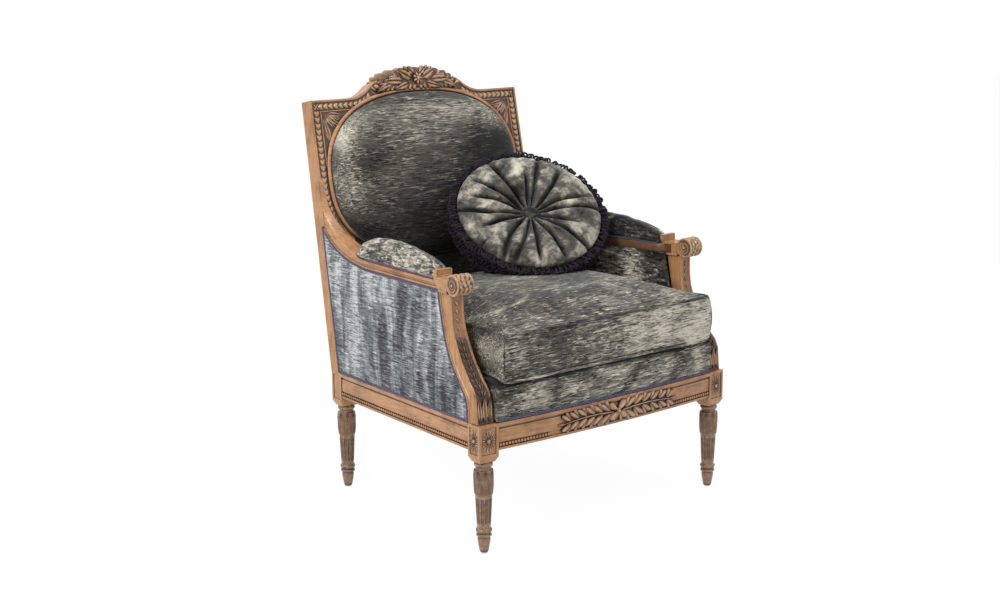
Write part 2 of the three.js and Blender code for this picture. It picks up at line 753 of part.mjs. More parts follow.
// Arm rail, or the same rail raised and widened as a cutter for the pad that sits on it
function armRail(raise = 0) {
  const spare = raise ? overrun : 0;
  const outline = shapeOf([
    [collarRear - collarLength / 2, armUnderside], [collarRear - collarLength / 2, armTop + raise],
    [stopRear, armTop + raise],
    ...armSweep.map(([y, z]) => [y, z + raise]), [tailRear, armTop + armSweepRise + raise],
    [tailRear, armUnderside + underSweepRise], ...underSweep.slice().reverse(), [stopRear, armUnderside],
  ]);
  const edge = raise ? 0 : armEdge;
  const blank = alongX(outline, armInside - spare, sideFace + spare, { edge });
  return reshaped(blank, (x, y, z) => {
    if (y < stopFront) {
      return [Math.max(x, collarInside), y, z];
    }
    const back = Math.min(1, Math.max(0, (y - armSweepStart) / underSweepRun));
    return [x < 0 ? mix(x, x + armWidth - armTailWidth, back * back) : x, y, z];
  });
}

// Scroll at the front of an arm, turned about an axis across the chair
function armScroll() {
  const half = scrollWidth / 2;
  const rows = scrollShares.map(([out, along]) => [scrollRadius * out, half * along]);
  const other = rows.slice(1).reverse().map(([r, x]) => [r, -x]);
  const drum = revolved([...other, ...rows], scrollSides).rotateY(Math.PI / 2);
  return moved(drum, sideFace + scrollOverhang - half, scrollCentre, scrollHeight);
}

// Clears the proud fillet along the outer edge of a stile
const beyondFillet = placed(
  alongY(
    shapeOf([
      [backFootHalfWidth - edgeFilletWidth - fitGap, 0],
      [shoulderHalfWidth - edgeFilletWidth - fitGap, shoulderHeight],
      [reach, shoulderHeight], [reach, 0],
    ]),
    -edgeFilletRelief - fitGap, reach,
  ),
  backToSide,
);

function arm() {
  const collar = alongX(
    shapeOf([
      [collarRear, collarBottom], [collarRear, armUnderside], [stopRear, armTop],
      [stopRear, armTop + stopHeight], [stopFront, armTop + stopHeight], [stopFront, armTop + collarProud],
      [collarRear - collarLength, armTop + collarProud], [collarRear - collarLength, collarBottom],
    ]),
    collarInside, collarOutside, { edge: armEdge },
  );
  const neckRear = collarRear - collarLength / 2;
  const onScroll = ([y, z]) => [scrollCentre + scrollRadius * y, scrollHeight + scrollRadius * z];
  const neck = alongX(
    shapeOf([[neckRear, armUnderside], [neckRear, armTop], ...neckShares.map(onScroll)]),
    collarInside + armEdge, sideFace,
  );
  const solid = joined(armRail(), collar, neck, armScroll());
  return cut(solid, behindBack, beyondFillet, headStub(fitGap));
}

// Padded top of an arm, seated on the arm rail behind the raised stop of the collar
function armPad() {
  const front = stopRear + fitGap;
  const [inside, outside] = [armInside - armPadOverhang, sideFace + armPadOverhang];
  const blank = gridBlock(armPadRows, armPadColumns, 1, (p, q, r) => {
    const along = (q + 1) / 2;
    const rise = armPadHeight * shareAt(armPadShares, along);
    const across = mix(inside, outside, (1 + p * (1 - armPadEndShare * Math.abs(q) ** armPadEndPower)) / 2);
    const dome = mix(armPadWallShare, 1, Math.sqrt(1 - p * p));
    return [across, mix(front, armPadRear, along), r < 0 ? armTop - fitGap : armTop + fitGap + rise * dome];
  });
  return cut(blank, armRail(fitGap));
}

// Cutters that trim the side panels to the arm support and to the underside of the arm
const supportTrim = alongX(
  shapeOf([
    [supportRear[0][0] + fitGap, 0], ...supportRear.map(([y, z]) => [y + fitGap, z]),
    [supportHeadRear + fitGap, armUnderside], [-reach, armUnderside], [-reach, 0],
  ]),
  -reach, reach,
);
const armTrim = alongX(
  shapeOf([
    [-reach, armUnderside - fitGap], ...underSweep.map(([y, z]) => [y + fitGap, z - fitGap]),
    [tailRear, armUnderside + underSweepRise], [tailRear, reach], [-reach, reach],
  ]),
  -reach, reach,
);

// Rear edge of a side panel, from a height at its foot to the end of the arm's underside
function panelRear(bottom, overlap) {
  const [topY, topZ] = underSweep[underSweep.length - 1];
  return [[alongSide(backPlaneY(bottom), 0) + overlap, bottom], [topY, topZ]];
}

// Panel between the four edges of a side, whose far face is crowned by a rule
function sidePanel(near, far, bottom, overlap, crown) {
  const front = [[supportFootRear, bottom], ...supportRear.slice(1), [supportHeadRear, armUnderside]];
  const top = [front[front.length - 1], ...underSweep];
  const rear = panelRear(bottom, overlap);
  const low = [front[0], rear[0]];
  const out = Math.sign(far - near);
  const blank = gridBlock(panelColumns, panelRows, 1, (p, q, r) => {
    const [s, t] = [(p + 1) / 2, (q + 1) / 2];
    const [f, b] = [pointAlong(front, t), pointAlong(rear, t)];
    const [u, d] = [pointAlong(top, s), pointAlong(low, s)];
    const patch = (k) => {
      const corners = mix(mix(low[0][k], low[1][k], s), mix(top[0][k], rear[1][k], s), t);
      return mix(f[k], b[k], s) + mix(d[k], u[k], t) - corners;
    };
    return [r * out < 0 ? near : far + out * crown(p, q, patch(1)), patch(0), patch(1)];
  });
  return cut(blank, supportTrim, armTrim);
}

const outsidePanelBack = sideFace - panelInset - panelThickness;
function outsidePanel() {
  const crown = (p, q) => panelCrown * crowned(p) * crowned(q);
  return sidePanel(outsidePanelBack, sideFace - panelInset, railTop + fitGap, panelRearOverlap, crown);
}

function insidePanel() {
  const crown = (p, q, z) => {
    const free = Math.max(0, (z - platformTop) / (armUnderside - platformTop));
    return insidePanelCrown * crowned(p) * Math.sin(Math.PI * Math.min(1, free));
  };
  const panel = sidePanel(armInside + insidePanelThickness, armInside, seatFloor, panelRearOverlap, crown);
  const besidePlatform = box(-reach, armInside, -reach, reach, 0, platformTop + fitGap);
  return cut(panel, behindBack, besidePlatform);
}

// Rebate in the outer side of a stile, which takes the rear edge of the outside panel
const [rebateFoot, rebateHead] = panelRear(railTop, panelRearOverlap + fitGap);
const sideRebate = alongX(
  shapeOf([
    [0, rebateFoot[1]], rebateFoot, [rebateHead[0] + fitGap, rebateHead[1] + fitGap],
    [0, rebateHead[1] + fitGap],
  ]),
  outsidePanelBack - fitGap, reach,
);

// Hidden rail between the support and the stile, which carries both covers of a side
function stuffingRail() {
  const bottom = railTop + stuffingRailRise;
  const blank = box(
    armInside + insidePanelThickness + fitGap, outsidePanelBack - fitGap, 0, tailRear,
    bottom, bottom + stuffingRailHeight,
  );
  return cut(blank, supportTrim, behindBack);
}

// Leg and block of one corner, with the mortises that both kinds of corner have
function corner(forward) {
  const holes = [
    sideTenon(forward, fitGap), crossTenon(-forward * crossTenonMiddle, fitGap), outerSunkPanel,
    endSunkPanel(-forward), nailHole,
  ];
  return cut(joined(turnedLeg(), cornerBlock()), ...holes);
}

const frontLeg = () => cut(corner(1), screwHole, footStub(fitGap));

function rearPost() {
  const overRail = box(-reach, reach, -reach, sideRun - blockDepth / 2, -reach, railTop + fitGap);
  const stile = cut(placed(common(backBlank, stileRegion), backToSide), overRail);
  const tenonFeet = [crestTenonBottom, lowerTenonBottom];
  const mortises = tenonFeet.map((z) => placed(backTenon(z, fitGap), backToSide));
  const screwed = cut(corner(-1), placed(screwHole, quarterTurn));
  return cut(joined(atRearLeg(screwed), stile), ...mortises, sideRebate);
}

// Plan of the seat at a line out from the leg axes, from a front line to a straight rear
function seatPlan(out, frontOf, rear) {
  const points = [];
  for (let i = 0; i <= railSteps; i++) {
    const x = mix(-1, 1, i / railSteps) * sideX(out, 0);
    points.push([x, frontOf(x)]);
  }
  return shapeOf([...points, [sideX(out, rear), rear], [-sideX(out, rear), rear]]);
}

// A lattice of flat strips, each given by its middle, in both directions
function lattice(acrossAt, upAt, width, thickness) {
  const half = width / 2;
  const across = acrossAt.map((y) => box(-reach, reach, y - half, y + half, 0, thickness));
  const up = upAt.map((x) => box(x - half, x + half, -reach, reach, 0, thickness));
  return joined(...across, ...up);
}

const spaced = (count, low, high) =>
  Array.from({ length: count }, (_, i) => mix(low, high, i / (count - 1)));

function seatWebbing() {
  const halfStrip = webbingMargin + webbingWidth / 2;
  const acrossAt = spaced(webbingStrips, supportFootRear + halfStrip, backBaseY - halfStrip);
  const alongAt = spaced(webbingStrips, halfStrip - stileInside, stileInside - halfStrip);
  const hold = webbingHold - railThickness;
  const plan = seatPlan(sideFace - railSetback + hold, (x) => frontFaceY(x) - hold, rearRailY + hold);
  const region = alongZ(plan, railTop + fitGap, webbingTop);
  const strips = lattice(acrossAt, alongAt, webbingWidth, webbingThickness);
  return common(moved(strips, 0, 0, railTop + fitGap), region);
}

// Stuffed platform under the seat cushion, with a bowed and swelled front
function seatPlatform() {
  const rear = backBaseY - platformSetback;
  return gridBlock(platformColumns, 2, 4, (p, q, r) => {
    const half = sideX(armInside - fitGap, 0);
    const front = frontFaceY(p * half) + platformSetback - platformSwell * (1 - r * r);
    const y = mix(front, rear, (q + 1) / 2);
    const x = p * sideX(armInside - fitGap, y);
    return [x, y, mix(seatFloor, platformTop, (r + 1) / 2)];
  });
}

function dustCover() {
  const inset = railSetback + dustCoverMargin;
  const rear = rearRailY - dustCoverMargin;
  const plan = seatPlan(sideFace - inset, (x) => frontFaceY(x) + dustCoverMargin, rear);
  const blank = alongZ(plan, railBottom - fitGap - dustCoverThickness, railBottom - fitGap);
  return cut(blank, ...bothSides(cornerBlock(fitGap)), ...bothSides(atRearLeg(cornerBlock(fitGap))));
}

// Domed pad that fills the oval of the back
function backPad() {
  const rows = backDomeShares.map(([r, h]) => [r, backPadCrown * h]);
  const base = -(backThickness - rearRebate);
  const dome = revolved([[0, base], [1, base], ...rows], ovalSteps).rotateX(Math.PI / 2);
  return reshaped(dome, (x, y, z) => {
    const r = Math.hypot(x, z);
    const [ox, oz] = ovalPoint(-fitGap, Math.atan2(z, x));
    return [ox * r, y, ovalCentreHeight + oz * r];
  });
}

const backWebbingFront = backThickness - rearRebate + fitGap;
const rearPanelFront = backWebbingFront + webbingThickness + fitGap;

function backWebbing() {
  const rows = spaced(backWebbingStrips, earBottom, earTop);
  const columns = spaced(backWebbingStrips, -ovalHalfWidth / 2, ovalHalfWidth / 2);
  const strips = lattice(rows, columns, backWebbingWidth, webbingThickness).rotateX(Math.PI / 2);
  const held = moved(strips, 0, backWebbingFront + webbingThickness, 0);
  const rebate = alongY(backOutline(rearPanelMargin + fitGap, 0), 0, backThickness);
  return common(common(held, alongY(ovalShape(webbingHold), 0, backThickness)), rebate);
}

function backOutsidePanel() {
  const outline = backOutline(rearPanelMargin + fitGap, rearRise);
  return alongY(outline, rearPanelFront, backThickness + rearPanelEdge, { edge: rearPanelEdge });
}

function lowerBackLining() {
  const inside = stileInside - fitGap;
  const [front, top] = [liningDepth, lowerRailBottom - fitGap];
  return box(-inside, inside, front, front + liningThickness, rearRise, top);
}

// Depth in the chair of the most forward point of the back pad
const padFrontY = Math.min(...backDomeShares.map(([r, h]) => {
  const height = ovalCentreHeight - r * ovalHalfHeight;
  return backBaseY - backPadCrown * h * Math.cos(backRake) + height * Math.sin(backRake);
}));

// Box cushion with a crowned top, and sides that swell between their two seams
const cushionOut = armInside - insidePanelCrown - cushionSideClearance;
function seatCushion(raise = 0) {
  const rear = padFrontY - cushionBackClearance;
  return gridBlock(cushionColumns, cushionColumns, cushionRows, (p, q, r) => {
    const seam = cushionSwell * r * r;
    const drawn = (t) => seam + cushionDrawIn * crowned(t);
    const y = mix(cushionFront + drawn(p), rear - seam, (q + 1) / 2);
    const x = p * (sideX(cushionOut, y) - drawn(q));
    const crown = r === 1 ? raise + cushionCrown * crowned(p) * crowned(q) : 0;
    return [x, y, mix(platformTop + fitGap, cushionSeamTop, (r + 1) / 2) + crown];
  });
}

// Frame of the round cushion: its axis is Z, and its face lies at z = 0 and looks towards +Z
const roundFrame = new THREE.Matrix4()
  .makeRotationZ(-roundTurn)
  .multiply(new THREE.Matrix4().makeRotationX(Math.PI / 2 - roundTilt))
  .setPosition(roundFaceX, roundFaceY, roundFaceZ);
const chairToRound = roundFrame.clone().invert();
const roundDepth = roundThickness - roundCrown - roundBackCrown;
const roundSides = stepsPerPleat * roundPleats;

// What the round cushion is pressed flat against: the seat cushion, the back pad and the right side
const roundSideLimit = cushionOut + cushionSideClearance - roundClearance;
const roundCutters = [
  seatCushion(fitGap),
  box(-reach, reach, padFrontY - roundClearance, reach, 0, reach),
  placed(box(roundSideLimit, reach, -reach, reach, 0, reach), sideFrame),
].map((cutter) => placed(cutter, chairToRound));

const roundRim = (share) => {
  const [back, swell, taper] = share;
  return [roundRadius + roundSwell * swell - roundTaper * taper, -roundDepth * back];
};

function roundCushion() {
  const rearRadius = roundRim(rimShares[0])[0];
  const rows = [
    [0, -roundDepth - roundBackCrown * rearDomeShares[0][0]],
    ...rearDomeShares.map(([h, r]) => [rearRadius * r, -roundDepth - roundBackCrown * h]),
    ...rimShares.map(roundRim),
    ...faceDomeShares.map(([r, h]) => [roundRadius * r, roundCrown * h]),
  ];
  const front = ([, z]) => z > 0;
  const pleated = reshaped(revolved(rows, roundSides), (x, y, z) => {
    const r = Math.hypot(x, y);
    const crease = Math.max(0, Math.cos(roundPleats * Math.atan2(x, -y)));
    const depth = front([r, z]) ? pleatDepth * crease * shareAt(pleatShares, r / roundRadius) : 0;
    return [x, y, z - depth];
  });
  return cut(pleated, ...roundCutters);
}

// Button sunk in the middle of one face, turned to the way that the face looks
function roundButton(face, facing) {
  const dome = buttonShares.map(([h, r]) => [buttonRadius * r, buttonThickness * h]);
  const button = revolved(dome, buttonSides);
  return moved(facing > 0 ? button : button.rotateX(Math.PI), 0, 0, face + facing * fitGap);
}

// Thick looped fringe round the rim, behind the seam of the face
function roundFringe() {
  const inner = rimShares.slice(1, -1).reverse().map(roundRim).map(([r, z]) => [r + fitGap, z]);
  const outer = inner.slice().reverse().map(([r, z], i) => {
    const end = i === 0 || i === inner.length - 1;
    return [r + fringeWidth - (end ? fringePinch : 0), z];
  });
  return cut(revolved([...inner, ...outer, inner[0]], roundSides), ...roundCutters);
}

// The assembly: each side is a group, mirrored for the left, and so is the back with its rake
const chair = new THREE.Group();
const rightSide = new THREE.Group();
const leftSide = new THREE.Group();
const back = new THREE.Group();
const cushion = new THREE.Group();
rightSide.applyMatrix4(sideFrame);
leftSide.applyMatrix4(sideFrame.clone().premultiply(new THREE.Matrix4().makeScale(-1, 1, 1)));
back.applyMatrix4(backFrame);
cushion.applyMatrix4(roundFrame);
chair.add(rightSide, leftSide, back, cushion);

function add(parent, name, geometry, material) {
  const mesh = new THREE.Mesh(geometry, material());
  mesh.name = name;
  parent.add(mesh);
}

function pair(name, geometry, material) {
  add(rightSide, name + "_right", geometry, material);
  add(leftSide, name + "_left", geometry, material);
}

pair("front_leg", frontLeg(), wood);
pair("rear_post", rearPost(), wood);
pair("front_glide", glide(), steel);
pair("rear_glide", atRearLeg(glide()), steel);
pair("side_seat_rail", sideRail(), wood);
pair(
  "front_corner_brace",
  cornerBrace(braceBlank, screwHole, (part) => part, frontRailBlank(fitGap)),
  innerWood,
);
pair("front_brace_screw", screwBlank, steel);
pair(
  "rear_corner_brace",
  cornerBrace(turnedToRear(braceBlank), turnedToRear(screwHole), atRearLeg, rearRailBlank(fitGap)),
  innerWood,
);
pair("rear_brace_screw", turnedToRear(screwBlank), steel);
pair("arm_support", armSupport(), wood);
pair("arm", arm(), wood);
pair("arm_pad", armPad(), velvet);
pair("side_stuffing_rail", stuffingRail(), innerWood);
pair("side_panel_outside", outsidePanel(), paleVelvet);
pair("side_panel_inside", insidePanel(), velvet);

add(chair, "front_seat_rail", crossRail(frontRailBlank(0), (part) => part, -crossTenonMiddle), wood);
add(chair, "rear_seat_rail", crossRail(rearRailBlank(0), atRearLeg, crossTenonMiddle), wood);
add(chair, "seat_webbing", seatWebbing(), webbingCloth);
add(chair, "seat_platform", seatPlatform(), velvet);
add(chair, "dust_cover", dustCover(), blackCloth);
add(chair, "seat_cushion", seatCushion(), velvet);

add(back, "crest_rail", crestRail(), wood);
add(back, "back_lower_rail", lowerBackRail(), wood);
add(back, "back_pad", backPad(), velvet);
add(back, "back_webbing", backWebbing(), webbingCloth);
add(back, "back_outside_panel", backOutsidePanel(), velvet);
add(back, "lower_back_lining", lowerBackLining(), velvet);

const faceSink = roundCrown * faceDomeShares[faceDomeShares.length - 2][1];
add(cushion, "round_cushion", roundCushion(), paleVelvet);
add(cushion, "round_cushion_button_front", roundButton(faceSink, 1), paleVelvet);
add(
  cushion, "round_cushion_button_back",
  roundButton(-roundDepth - roundBackCrown * rearDomeShares[0][0], -1), paleVelvet,
);
add(cushion, "round_cushion_fringe", roundFringe(), purpleFringe);

// The middle of the footprint of the whole chair becomes the origin
const bounds = new THREE.Box3().setFromObject(chair, true);
chair.position.y = -(bounds.min.y + bounds.max.y) / 2;

export default chair;
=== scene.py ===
import json
import math

import bmesh
import bpy
from bpy.props import FloatProperty, FloatVectorProperty, IntProperty, PointerProperty
from mathutils import Matrix, Vector, noise

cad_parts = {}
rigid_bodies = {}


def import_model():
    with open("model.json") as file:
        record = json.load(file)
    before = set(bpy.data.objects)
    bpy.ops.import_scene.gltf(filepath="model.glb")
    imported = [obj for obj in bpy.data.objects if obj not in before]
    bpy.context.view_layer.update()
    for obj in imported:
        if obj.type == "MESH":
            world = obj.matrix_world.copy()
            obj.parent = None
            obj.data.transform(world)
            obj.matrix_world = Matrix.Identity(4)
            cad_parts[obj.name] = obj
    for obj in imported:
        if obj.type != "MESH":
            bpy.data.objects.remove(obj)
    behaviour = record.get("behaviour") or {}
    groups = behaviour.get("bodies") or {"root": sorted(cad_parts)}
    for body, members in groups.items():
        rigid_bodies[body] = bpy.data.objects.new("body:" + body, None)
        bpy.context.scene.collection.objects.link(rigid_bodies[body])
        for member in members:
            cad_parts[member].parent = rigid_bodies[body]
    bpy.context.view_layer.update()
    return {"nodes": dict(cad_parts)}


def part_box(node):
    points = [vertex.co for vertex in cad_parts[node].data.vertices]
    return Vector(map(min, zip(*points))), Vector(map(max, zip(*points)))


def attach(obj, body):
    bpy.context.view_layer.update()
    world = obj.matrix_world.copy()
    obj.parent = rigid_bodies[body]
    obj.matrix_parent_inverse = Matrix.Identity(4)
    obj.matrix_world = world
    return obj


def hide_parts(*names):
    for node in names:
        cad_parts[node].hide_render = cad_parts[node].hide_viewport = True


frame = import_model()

bl_info = {
    "name": "Carved Armchair",
    "version": (1, 0, 0),
    "blender": (4, 5, 0),
    "location": "3D View > Sidebar > Armchair",
    "description": "Dresses the packed frame of a carved and upholstered armchair",
    "category": "Object",
}

MM = 0.001
TAU = 2 * math.pi

# Places and sizes of the chair's parts in millimetres, most as the solids have them; turns in degrees
FRONT_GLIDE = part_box("front_glide_right")
REAR_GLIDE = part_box("rear_glide_right")
FRONT_AXIS = (FRONT_GLIDE[0] + FRONT_GLIDE[1]) / 2
REAR_AXIS = (REAR_GLIDE[0] + REAR_GLIDE[1]) / 2
SIDE_ANGLE = math.atan2(FRONT_AXIS.x - REAR_AXIS.x, REAR_AXIS.y - FRONT_AXIS.y)
SIDE_RUN = math.hypot(FRONT_AXIS.x - REAR_AXIS.x, REAR_AXIS.y - FRONT_AXIS.y) / MM
LEG_SPAN = FRONT_AXIS.x / MM
GLIDE_TOP = 3.3
LEG_TOP = 210.0
RAIL_BOTTOM = 235.0
RAIL_TOP = 296.0
SIDE_FACE = 26.0
BLOCK_HALF_DEPTH = 22.0
BACK_RAKE = math.radians(10.9)
BACK_BASE_Y = 565.0
OVAL_HALF_WIDTH = 292.0
OVAL_HALF_HEIGHT = 203.0
OVAL_CENTRE = 469.0
OVAL_POWER = 2.4
OVAL_MOULDING = 11.0
SHOULDER_HALF_WIDTH = 327.0
FOOT_HALF_WIDTH = 338.0
SHOULDER_HEIGHT = 666.0
CREST_HEIGHT = 722.0
SHOULDER_FLAT = 112.0
ARM_TOP = 596.0
ARM_UNDERSIDE = 574.0
ARM_INSIDE = -24.0
SWEEP_START = 441.0
SWEEP_RUN = 215.0
SWEEP_RISE = 172.0
LOW_SWEEP_RUN = 200.0
LOW_SWEEP_RISE = 75.0
COLLAR_REAR = 129.7
COLLAR_LENGTH = 34.0
COLLAR_INSIDE = -15.5
COLLAR_OUTSIDE = 27.5
STOP_FRONT = 136.0
STOP_REAR = 148.0
STOP_HEIGHT = 21.0
SCROLL_CENTRE = 74.0
SCROLL_HEIGHT = 591.0
SCROLL_RADIUS = 24.0
SCROLL_MIDDLE = 6.5
SCROLL_HALF = 21.5
SUPPORT_TOP = 568.7
PLATFORM_TOP = 386.0
SEAT_FLOOR = 298.6
PAD_FRONT_Y = 576.4
CUSHION_OUT = -34.0
SEAM_TOP = 492.0
ROUND_PLACE = (122.0, 396.0, 667.0)
ROUND_TURN = -25.0
ROUND_LEAN = 40.0
ROUND_RADIUS = 182.0
BUTTON_DROP = 8.0

# Frames of the chair's parts, which turn millimetres into the chair's metres
SCALE = Matrix.Scale(MM, 4)
MIRROR = Matrix.Scale(-1, 4, (1, 0, 0))
FACE_FORWARD = Matrix.Rotation(math.pi / 2, 4, "X")
FORWARD = Vector((0, -1, 0))
UPWARD = Vector((0, 0, 1))
CHAIR = Matrix.Translation((0, FRONT_AXIS.y, 0)) @ SCALE
RIGHT = Matrix.Translation((FRONT_AXIS.x, FRONT_AXIS.y, 0)) @ Matrix.Rotation(SIDE_ANGLE, 4, "Z") @ SCALE
LEFT = MIRROR @ RIGHT
BACK = CHAIR @ Matrix.Translation((0, BACK_BASE_Y, RAIL_TOP)) @ Matrix.Rotation(-BACK_RAKE, 4, "X")
ROUND = (
    CHAIR @ Matrix.Translation(ROUND_PLACE)
    @ Matrix.Rotation(math.radians(ROUND_TURN), 4, "Z") @ Matrix.Rotation(math.radians(ROUND_LEAN), 4, "X")
)
BACK_NORMAL = (BACK.to_3x3() @ Vector((0, 1, 0))).normalized()
SIDES = (("right", RIGHT), ("left", LEFT))
BACK_SIDES = (("right", False), ("left", True))

# Outlines as shares of the sizes that they follow: first along or up, then out
CREST_SHARES = ((0, 0), (0.12, 0.04), (0.26, 0.28), (0.38, 0.62), (0.55, 0.84), (0.8, 0.98), (1, 1))
SUPPORT_FRONT = ((0, 0), (0.09, 0.235), (0.34, 0.345), (0.69, 0.52), (0.95, 0.74), (1, 1))
SUPPORT_REAR = ((0, 0), (0.06, 0.18), (0.3, 0.305), (0.58, 0.455), (0.79, 0.645), (0.92, 0.84), (1, 1))
ARM_SWEEP = ((0, 0), (0.15, 0.01), (0.34, 0.08), (0.63, 0.235), (0.845, 0.465), (0.945, 0.7), (0.99, 1))
UNDER_SWEEP = ((0, 0), (0.375, 0.147), (0.705, 0.453), (1, 1))
ARM_PAD_RISE = ((0, 0.3), (0.05, 0.5), (0.18, 0.72), (0.37, 0.91), (0.6, 1), (0.8, 0.9), (0.93, 0.62),
                (1, 0.3))
DOME_SHARES = ((1, 0), (0.97, 0.3), (0.86, 0.55), (0.66, 0.75), (0.4, 0.9), (0.19, 0.97), (0, 1))


# Arithmetic ---------------------------------------------------------------

def mix(a, b, t):
    return a + (b - a) * t


def clamp(value, low=0.0, high=1.0):
    return max(low, min(high, value))


def smooth_step(low, high, value):
    t = clamp((value - low) / (high - low))
    return t * t * (3 - 2 * t)


def crowned(t, power=3.0):
    return 1 - abs(t) ** power


def eased(shares, place):
    """Value at a place in a rising list of (place, value) shares."""
    for (x0, y0), (x1, y1) in zip(shares, shares[1:]):
        if place <= x1:
            return mix(y0, y1, clamp((place - x0) / (x1 - x0)))
    return shares[-1][1]


def curve_through(points, steps):
    """Points of a smooth curve through the given points."""
    last = len(points) - 1
    found = []
    for step in range(steps + 1):
        place = step / steps * last
        i = min(int(place), last - 1)
        t = place - i
        p0, p1, p2, p3 = (Vector(points[clamp(k, 0, last)]) for k in (i - 1, i, i + 1, i + 2))
        v0, v1 = (p2 - p0) / 2, (p3 - p1) / 2
        found.append((2 * p1 - 2 * p2 + v0 + v1) * t ** 3 + (3 * p2 - 3 * p1 - 2 * v0 - v1) * t * t + v0 * t
                     + p1)
    return found


def swept(shares, x0, y0, run, rise, steps):
    return curve_through([(x0 + a * run, y0 + b * rise) for a, b in shares], steps)


def lengths_along(points):
    total = [0.0]
    for a, b in zip(points, points[1:]):
        total.append(total[-1] + (b - a).length)
    return total


def point_along(points, share, lengths=None):
    lengths = lengths or lengths_along(points)
    target = clamp(share) * lengths[-1]
    for i in range(1, len(points)):
        if lengths[i] >= target - 1e-9:
            return points[i - 1].lerp(points[i],
                                      (target - lengths[i - 1]) / max(lengths[i] - lengths[i - 1], 1e-9))
    return points[-1]


def evenly(points, pitch, closed=False):
    """Points a pitch apart along a line, each with the direction of the line there."""
    line = list(points) + ([points[0]] if closed else [])
    lengths = lengths_along(line)
    count = max(2, round(lengths[-1] / pitch))
    found = []
    for i in range(count if closed else count + 1):
        here = point_along(line, i / count, lengths)
        ahead = point_along(line, min(1.0, i / count + 0.002), lengths)
        behind = point_along(line, max(0.0, i / count - 0.002), lengths)
        found.append((here, (ahead - behind).normalized()))
    return found


def frame_at(place, along, up):
    """Frame whose X runs along and whose Z is up as nearly as it can be."""
    x = Vector(along).normalized()
    y = Vector(up).cross(x).normalized()
    z = x.cross(y)
    turn = Matrix((x, y, z)).transposed().to_4x4()
    return Matrix.Translation(place) @ turn


# Lines of the chair -------------------------------------------------------

def side_half_width(out, y):
    return LEG_SPAN + out / math.cos(SIDE_ANGLE) - y * math.tan(SIDE_ANGLE)


def back_plane_y(z):
    return BACK_BASE_Y + (z - RAIL_TOP) * math.tan(BACK_RAKE)


def along_side(y, out):
    return (y - out * math.sin(SIDE_ANGLE)) / math.cos(SIDE_ANGLE)


FRONT_RAIL_Y = 1 - BLOCK_HALF_DEPTH * math.cos(SIDE_ANGLE) - SIDE_FACE * math.sin(SIDE_ANGLE)


def front_face_y(x):
    return FRONT_RAIL_Y - 13 * (1 - (x / (LEG_SPAN - SIDE_FACE)) ** 2)


def oval_point(grow, angle):
    def share(t):
        return math.copysign(abs(t) ** (2 / OVAL_POWER), t)
    x = (OVAL_HALF_WIDTH + grow) * share(math.cos(angle))
    return Vector((x, OVAL_CENTRE + (OVAL_HALF_HEIGHT + grow) * share(math.sin(angle))))


def oval_line(grow, steps):
    return [oval_point(grow, i / steps * TAU) for i in range(steps)]


def back_edge_line(inset, bottom):
    """Right-hand half of the back's edge at an inset, from a height up to the middle of the crest."""
    top = SHOULDER_HEIGHT - inset
    flat = SHOULDER_HALF_WIDTH - SHOULDER_FLAT - inset / 2
    arch = swept(CREST_SHARES, flat, top, -flat, CREST_HEIGHT - SHOULDER_HEIGHT, 16)
    low = mix(FOOT_HALF_WIDTH, SHOULDER_HALF_WIDTH, bottom / SHOULDER_HEIGHT) - inset
    return [Vector((low, bottom)), Vector((SHOULDER_HALF_WIDTH - inset, top)), *arch]


def whole_back_line(inset, bottom):
    """The back's edge at an inset, from foot to foot over the crest."""
    half = back_edge_line(inset, bottom)
    return half + [Vector((-p.x, p.y)) for p in reversed(half[:-1])]


SUPPORT_FOOT_Z = RAIL_TOP + 0.3
FRONT_LINE = swept(SUPPORT_FRONT, -12, SUPPORT_FOOT_Z, 97, SUPPORT_TOP - SUPPORT_FOOT_Z, 36)
REAR_LINE = swept(SUPPORT_REAR, 20, SUPPORT_FOOT_Z, 110, SUPPORT_TOP - SUPPORT_FOOT_Z, 36)
TOP_SWEEP = swept(ARM_SWEEP, SWEEP_START, ARM_TOP, SWEEP_RUN, SWEEP_RISE, 24)
LOW_SWEEP = swept(UNDER_SWEEP, SWEEP_START, ARM_UNDERSIDE, LOW_SWEEP_RUN, LOW_SWEEP_RISE, 24)


def support_width(height):
    return mix(48, 36, (height - SUPPORT_FOOT_Z) / (SUPPORT_TOP - SUPPORT_FOOT_Z))


def standing(points, depth):
    """Points of a flat outline set upright at a depth."""
    return [Vector((p.x, depth, p.y)) for p in points]


# Mesh making --------------------------------------------------------------

def finish_piece(bm, name, finish, body="frame", nodes=(), sharp=38, merge=1e-6):
    """Makes a piece of a bmesh: closed, its faces outward, its sharp edges marked."""
    bmesh.ops.remove_doubles(bm, verts=bm.verts, dist=merge)
    bmesh.ops.dissolve_degenerate(bm, edges=bm.edges, dist=1e-7)
    bmesh.ops.recalc_face_normals(bm, faces=bm.faces)
    for face in bm.faces:
        face.smooth = True
    limit = math.radians(sharp)
    for edge in bm.edges:
        edge.smooth = edge.calc_face_angle(0.0) < limit
    mesh = bpy.data.meshes.new(name)
    bm.to_mesh(mesh)
    bm.free()
    piece = bpy.data.objects.new(name, mesh)
    bpy.context.scene.collection.objects.link(piece)
    mesh.materials.append(bpy.data.materials[finish])
    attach(piece, body)
    if nodes:
        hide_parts(*nodes)
    return piece


def finish_carving(bm, name, merge=1e-7):
    return finish_piece(bm, name, "wood_carved", merge=merge)


def paint(piece, matrix, rule):
    """Stores a tone on every point, given by a rule of its place: on the covers mostly painted light and
    shade, on the wood painted shade.
    """
    mesh = piece.data
    tone = mesh.attributes.get("tone") or mesh.attributes.new("tone", "FLOAT", "POINT")
    inverse = matrix.inverted()
    tone.data.foreach_set("value", [rule(*(inverse @ vert.co)) for vert in mesh.vertices])
    return piece


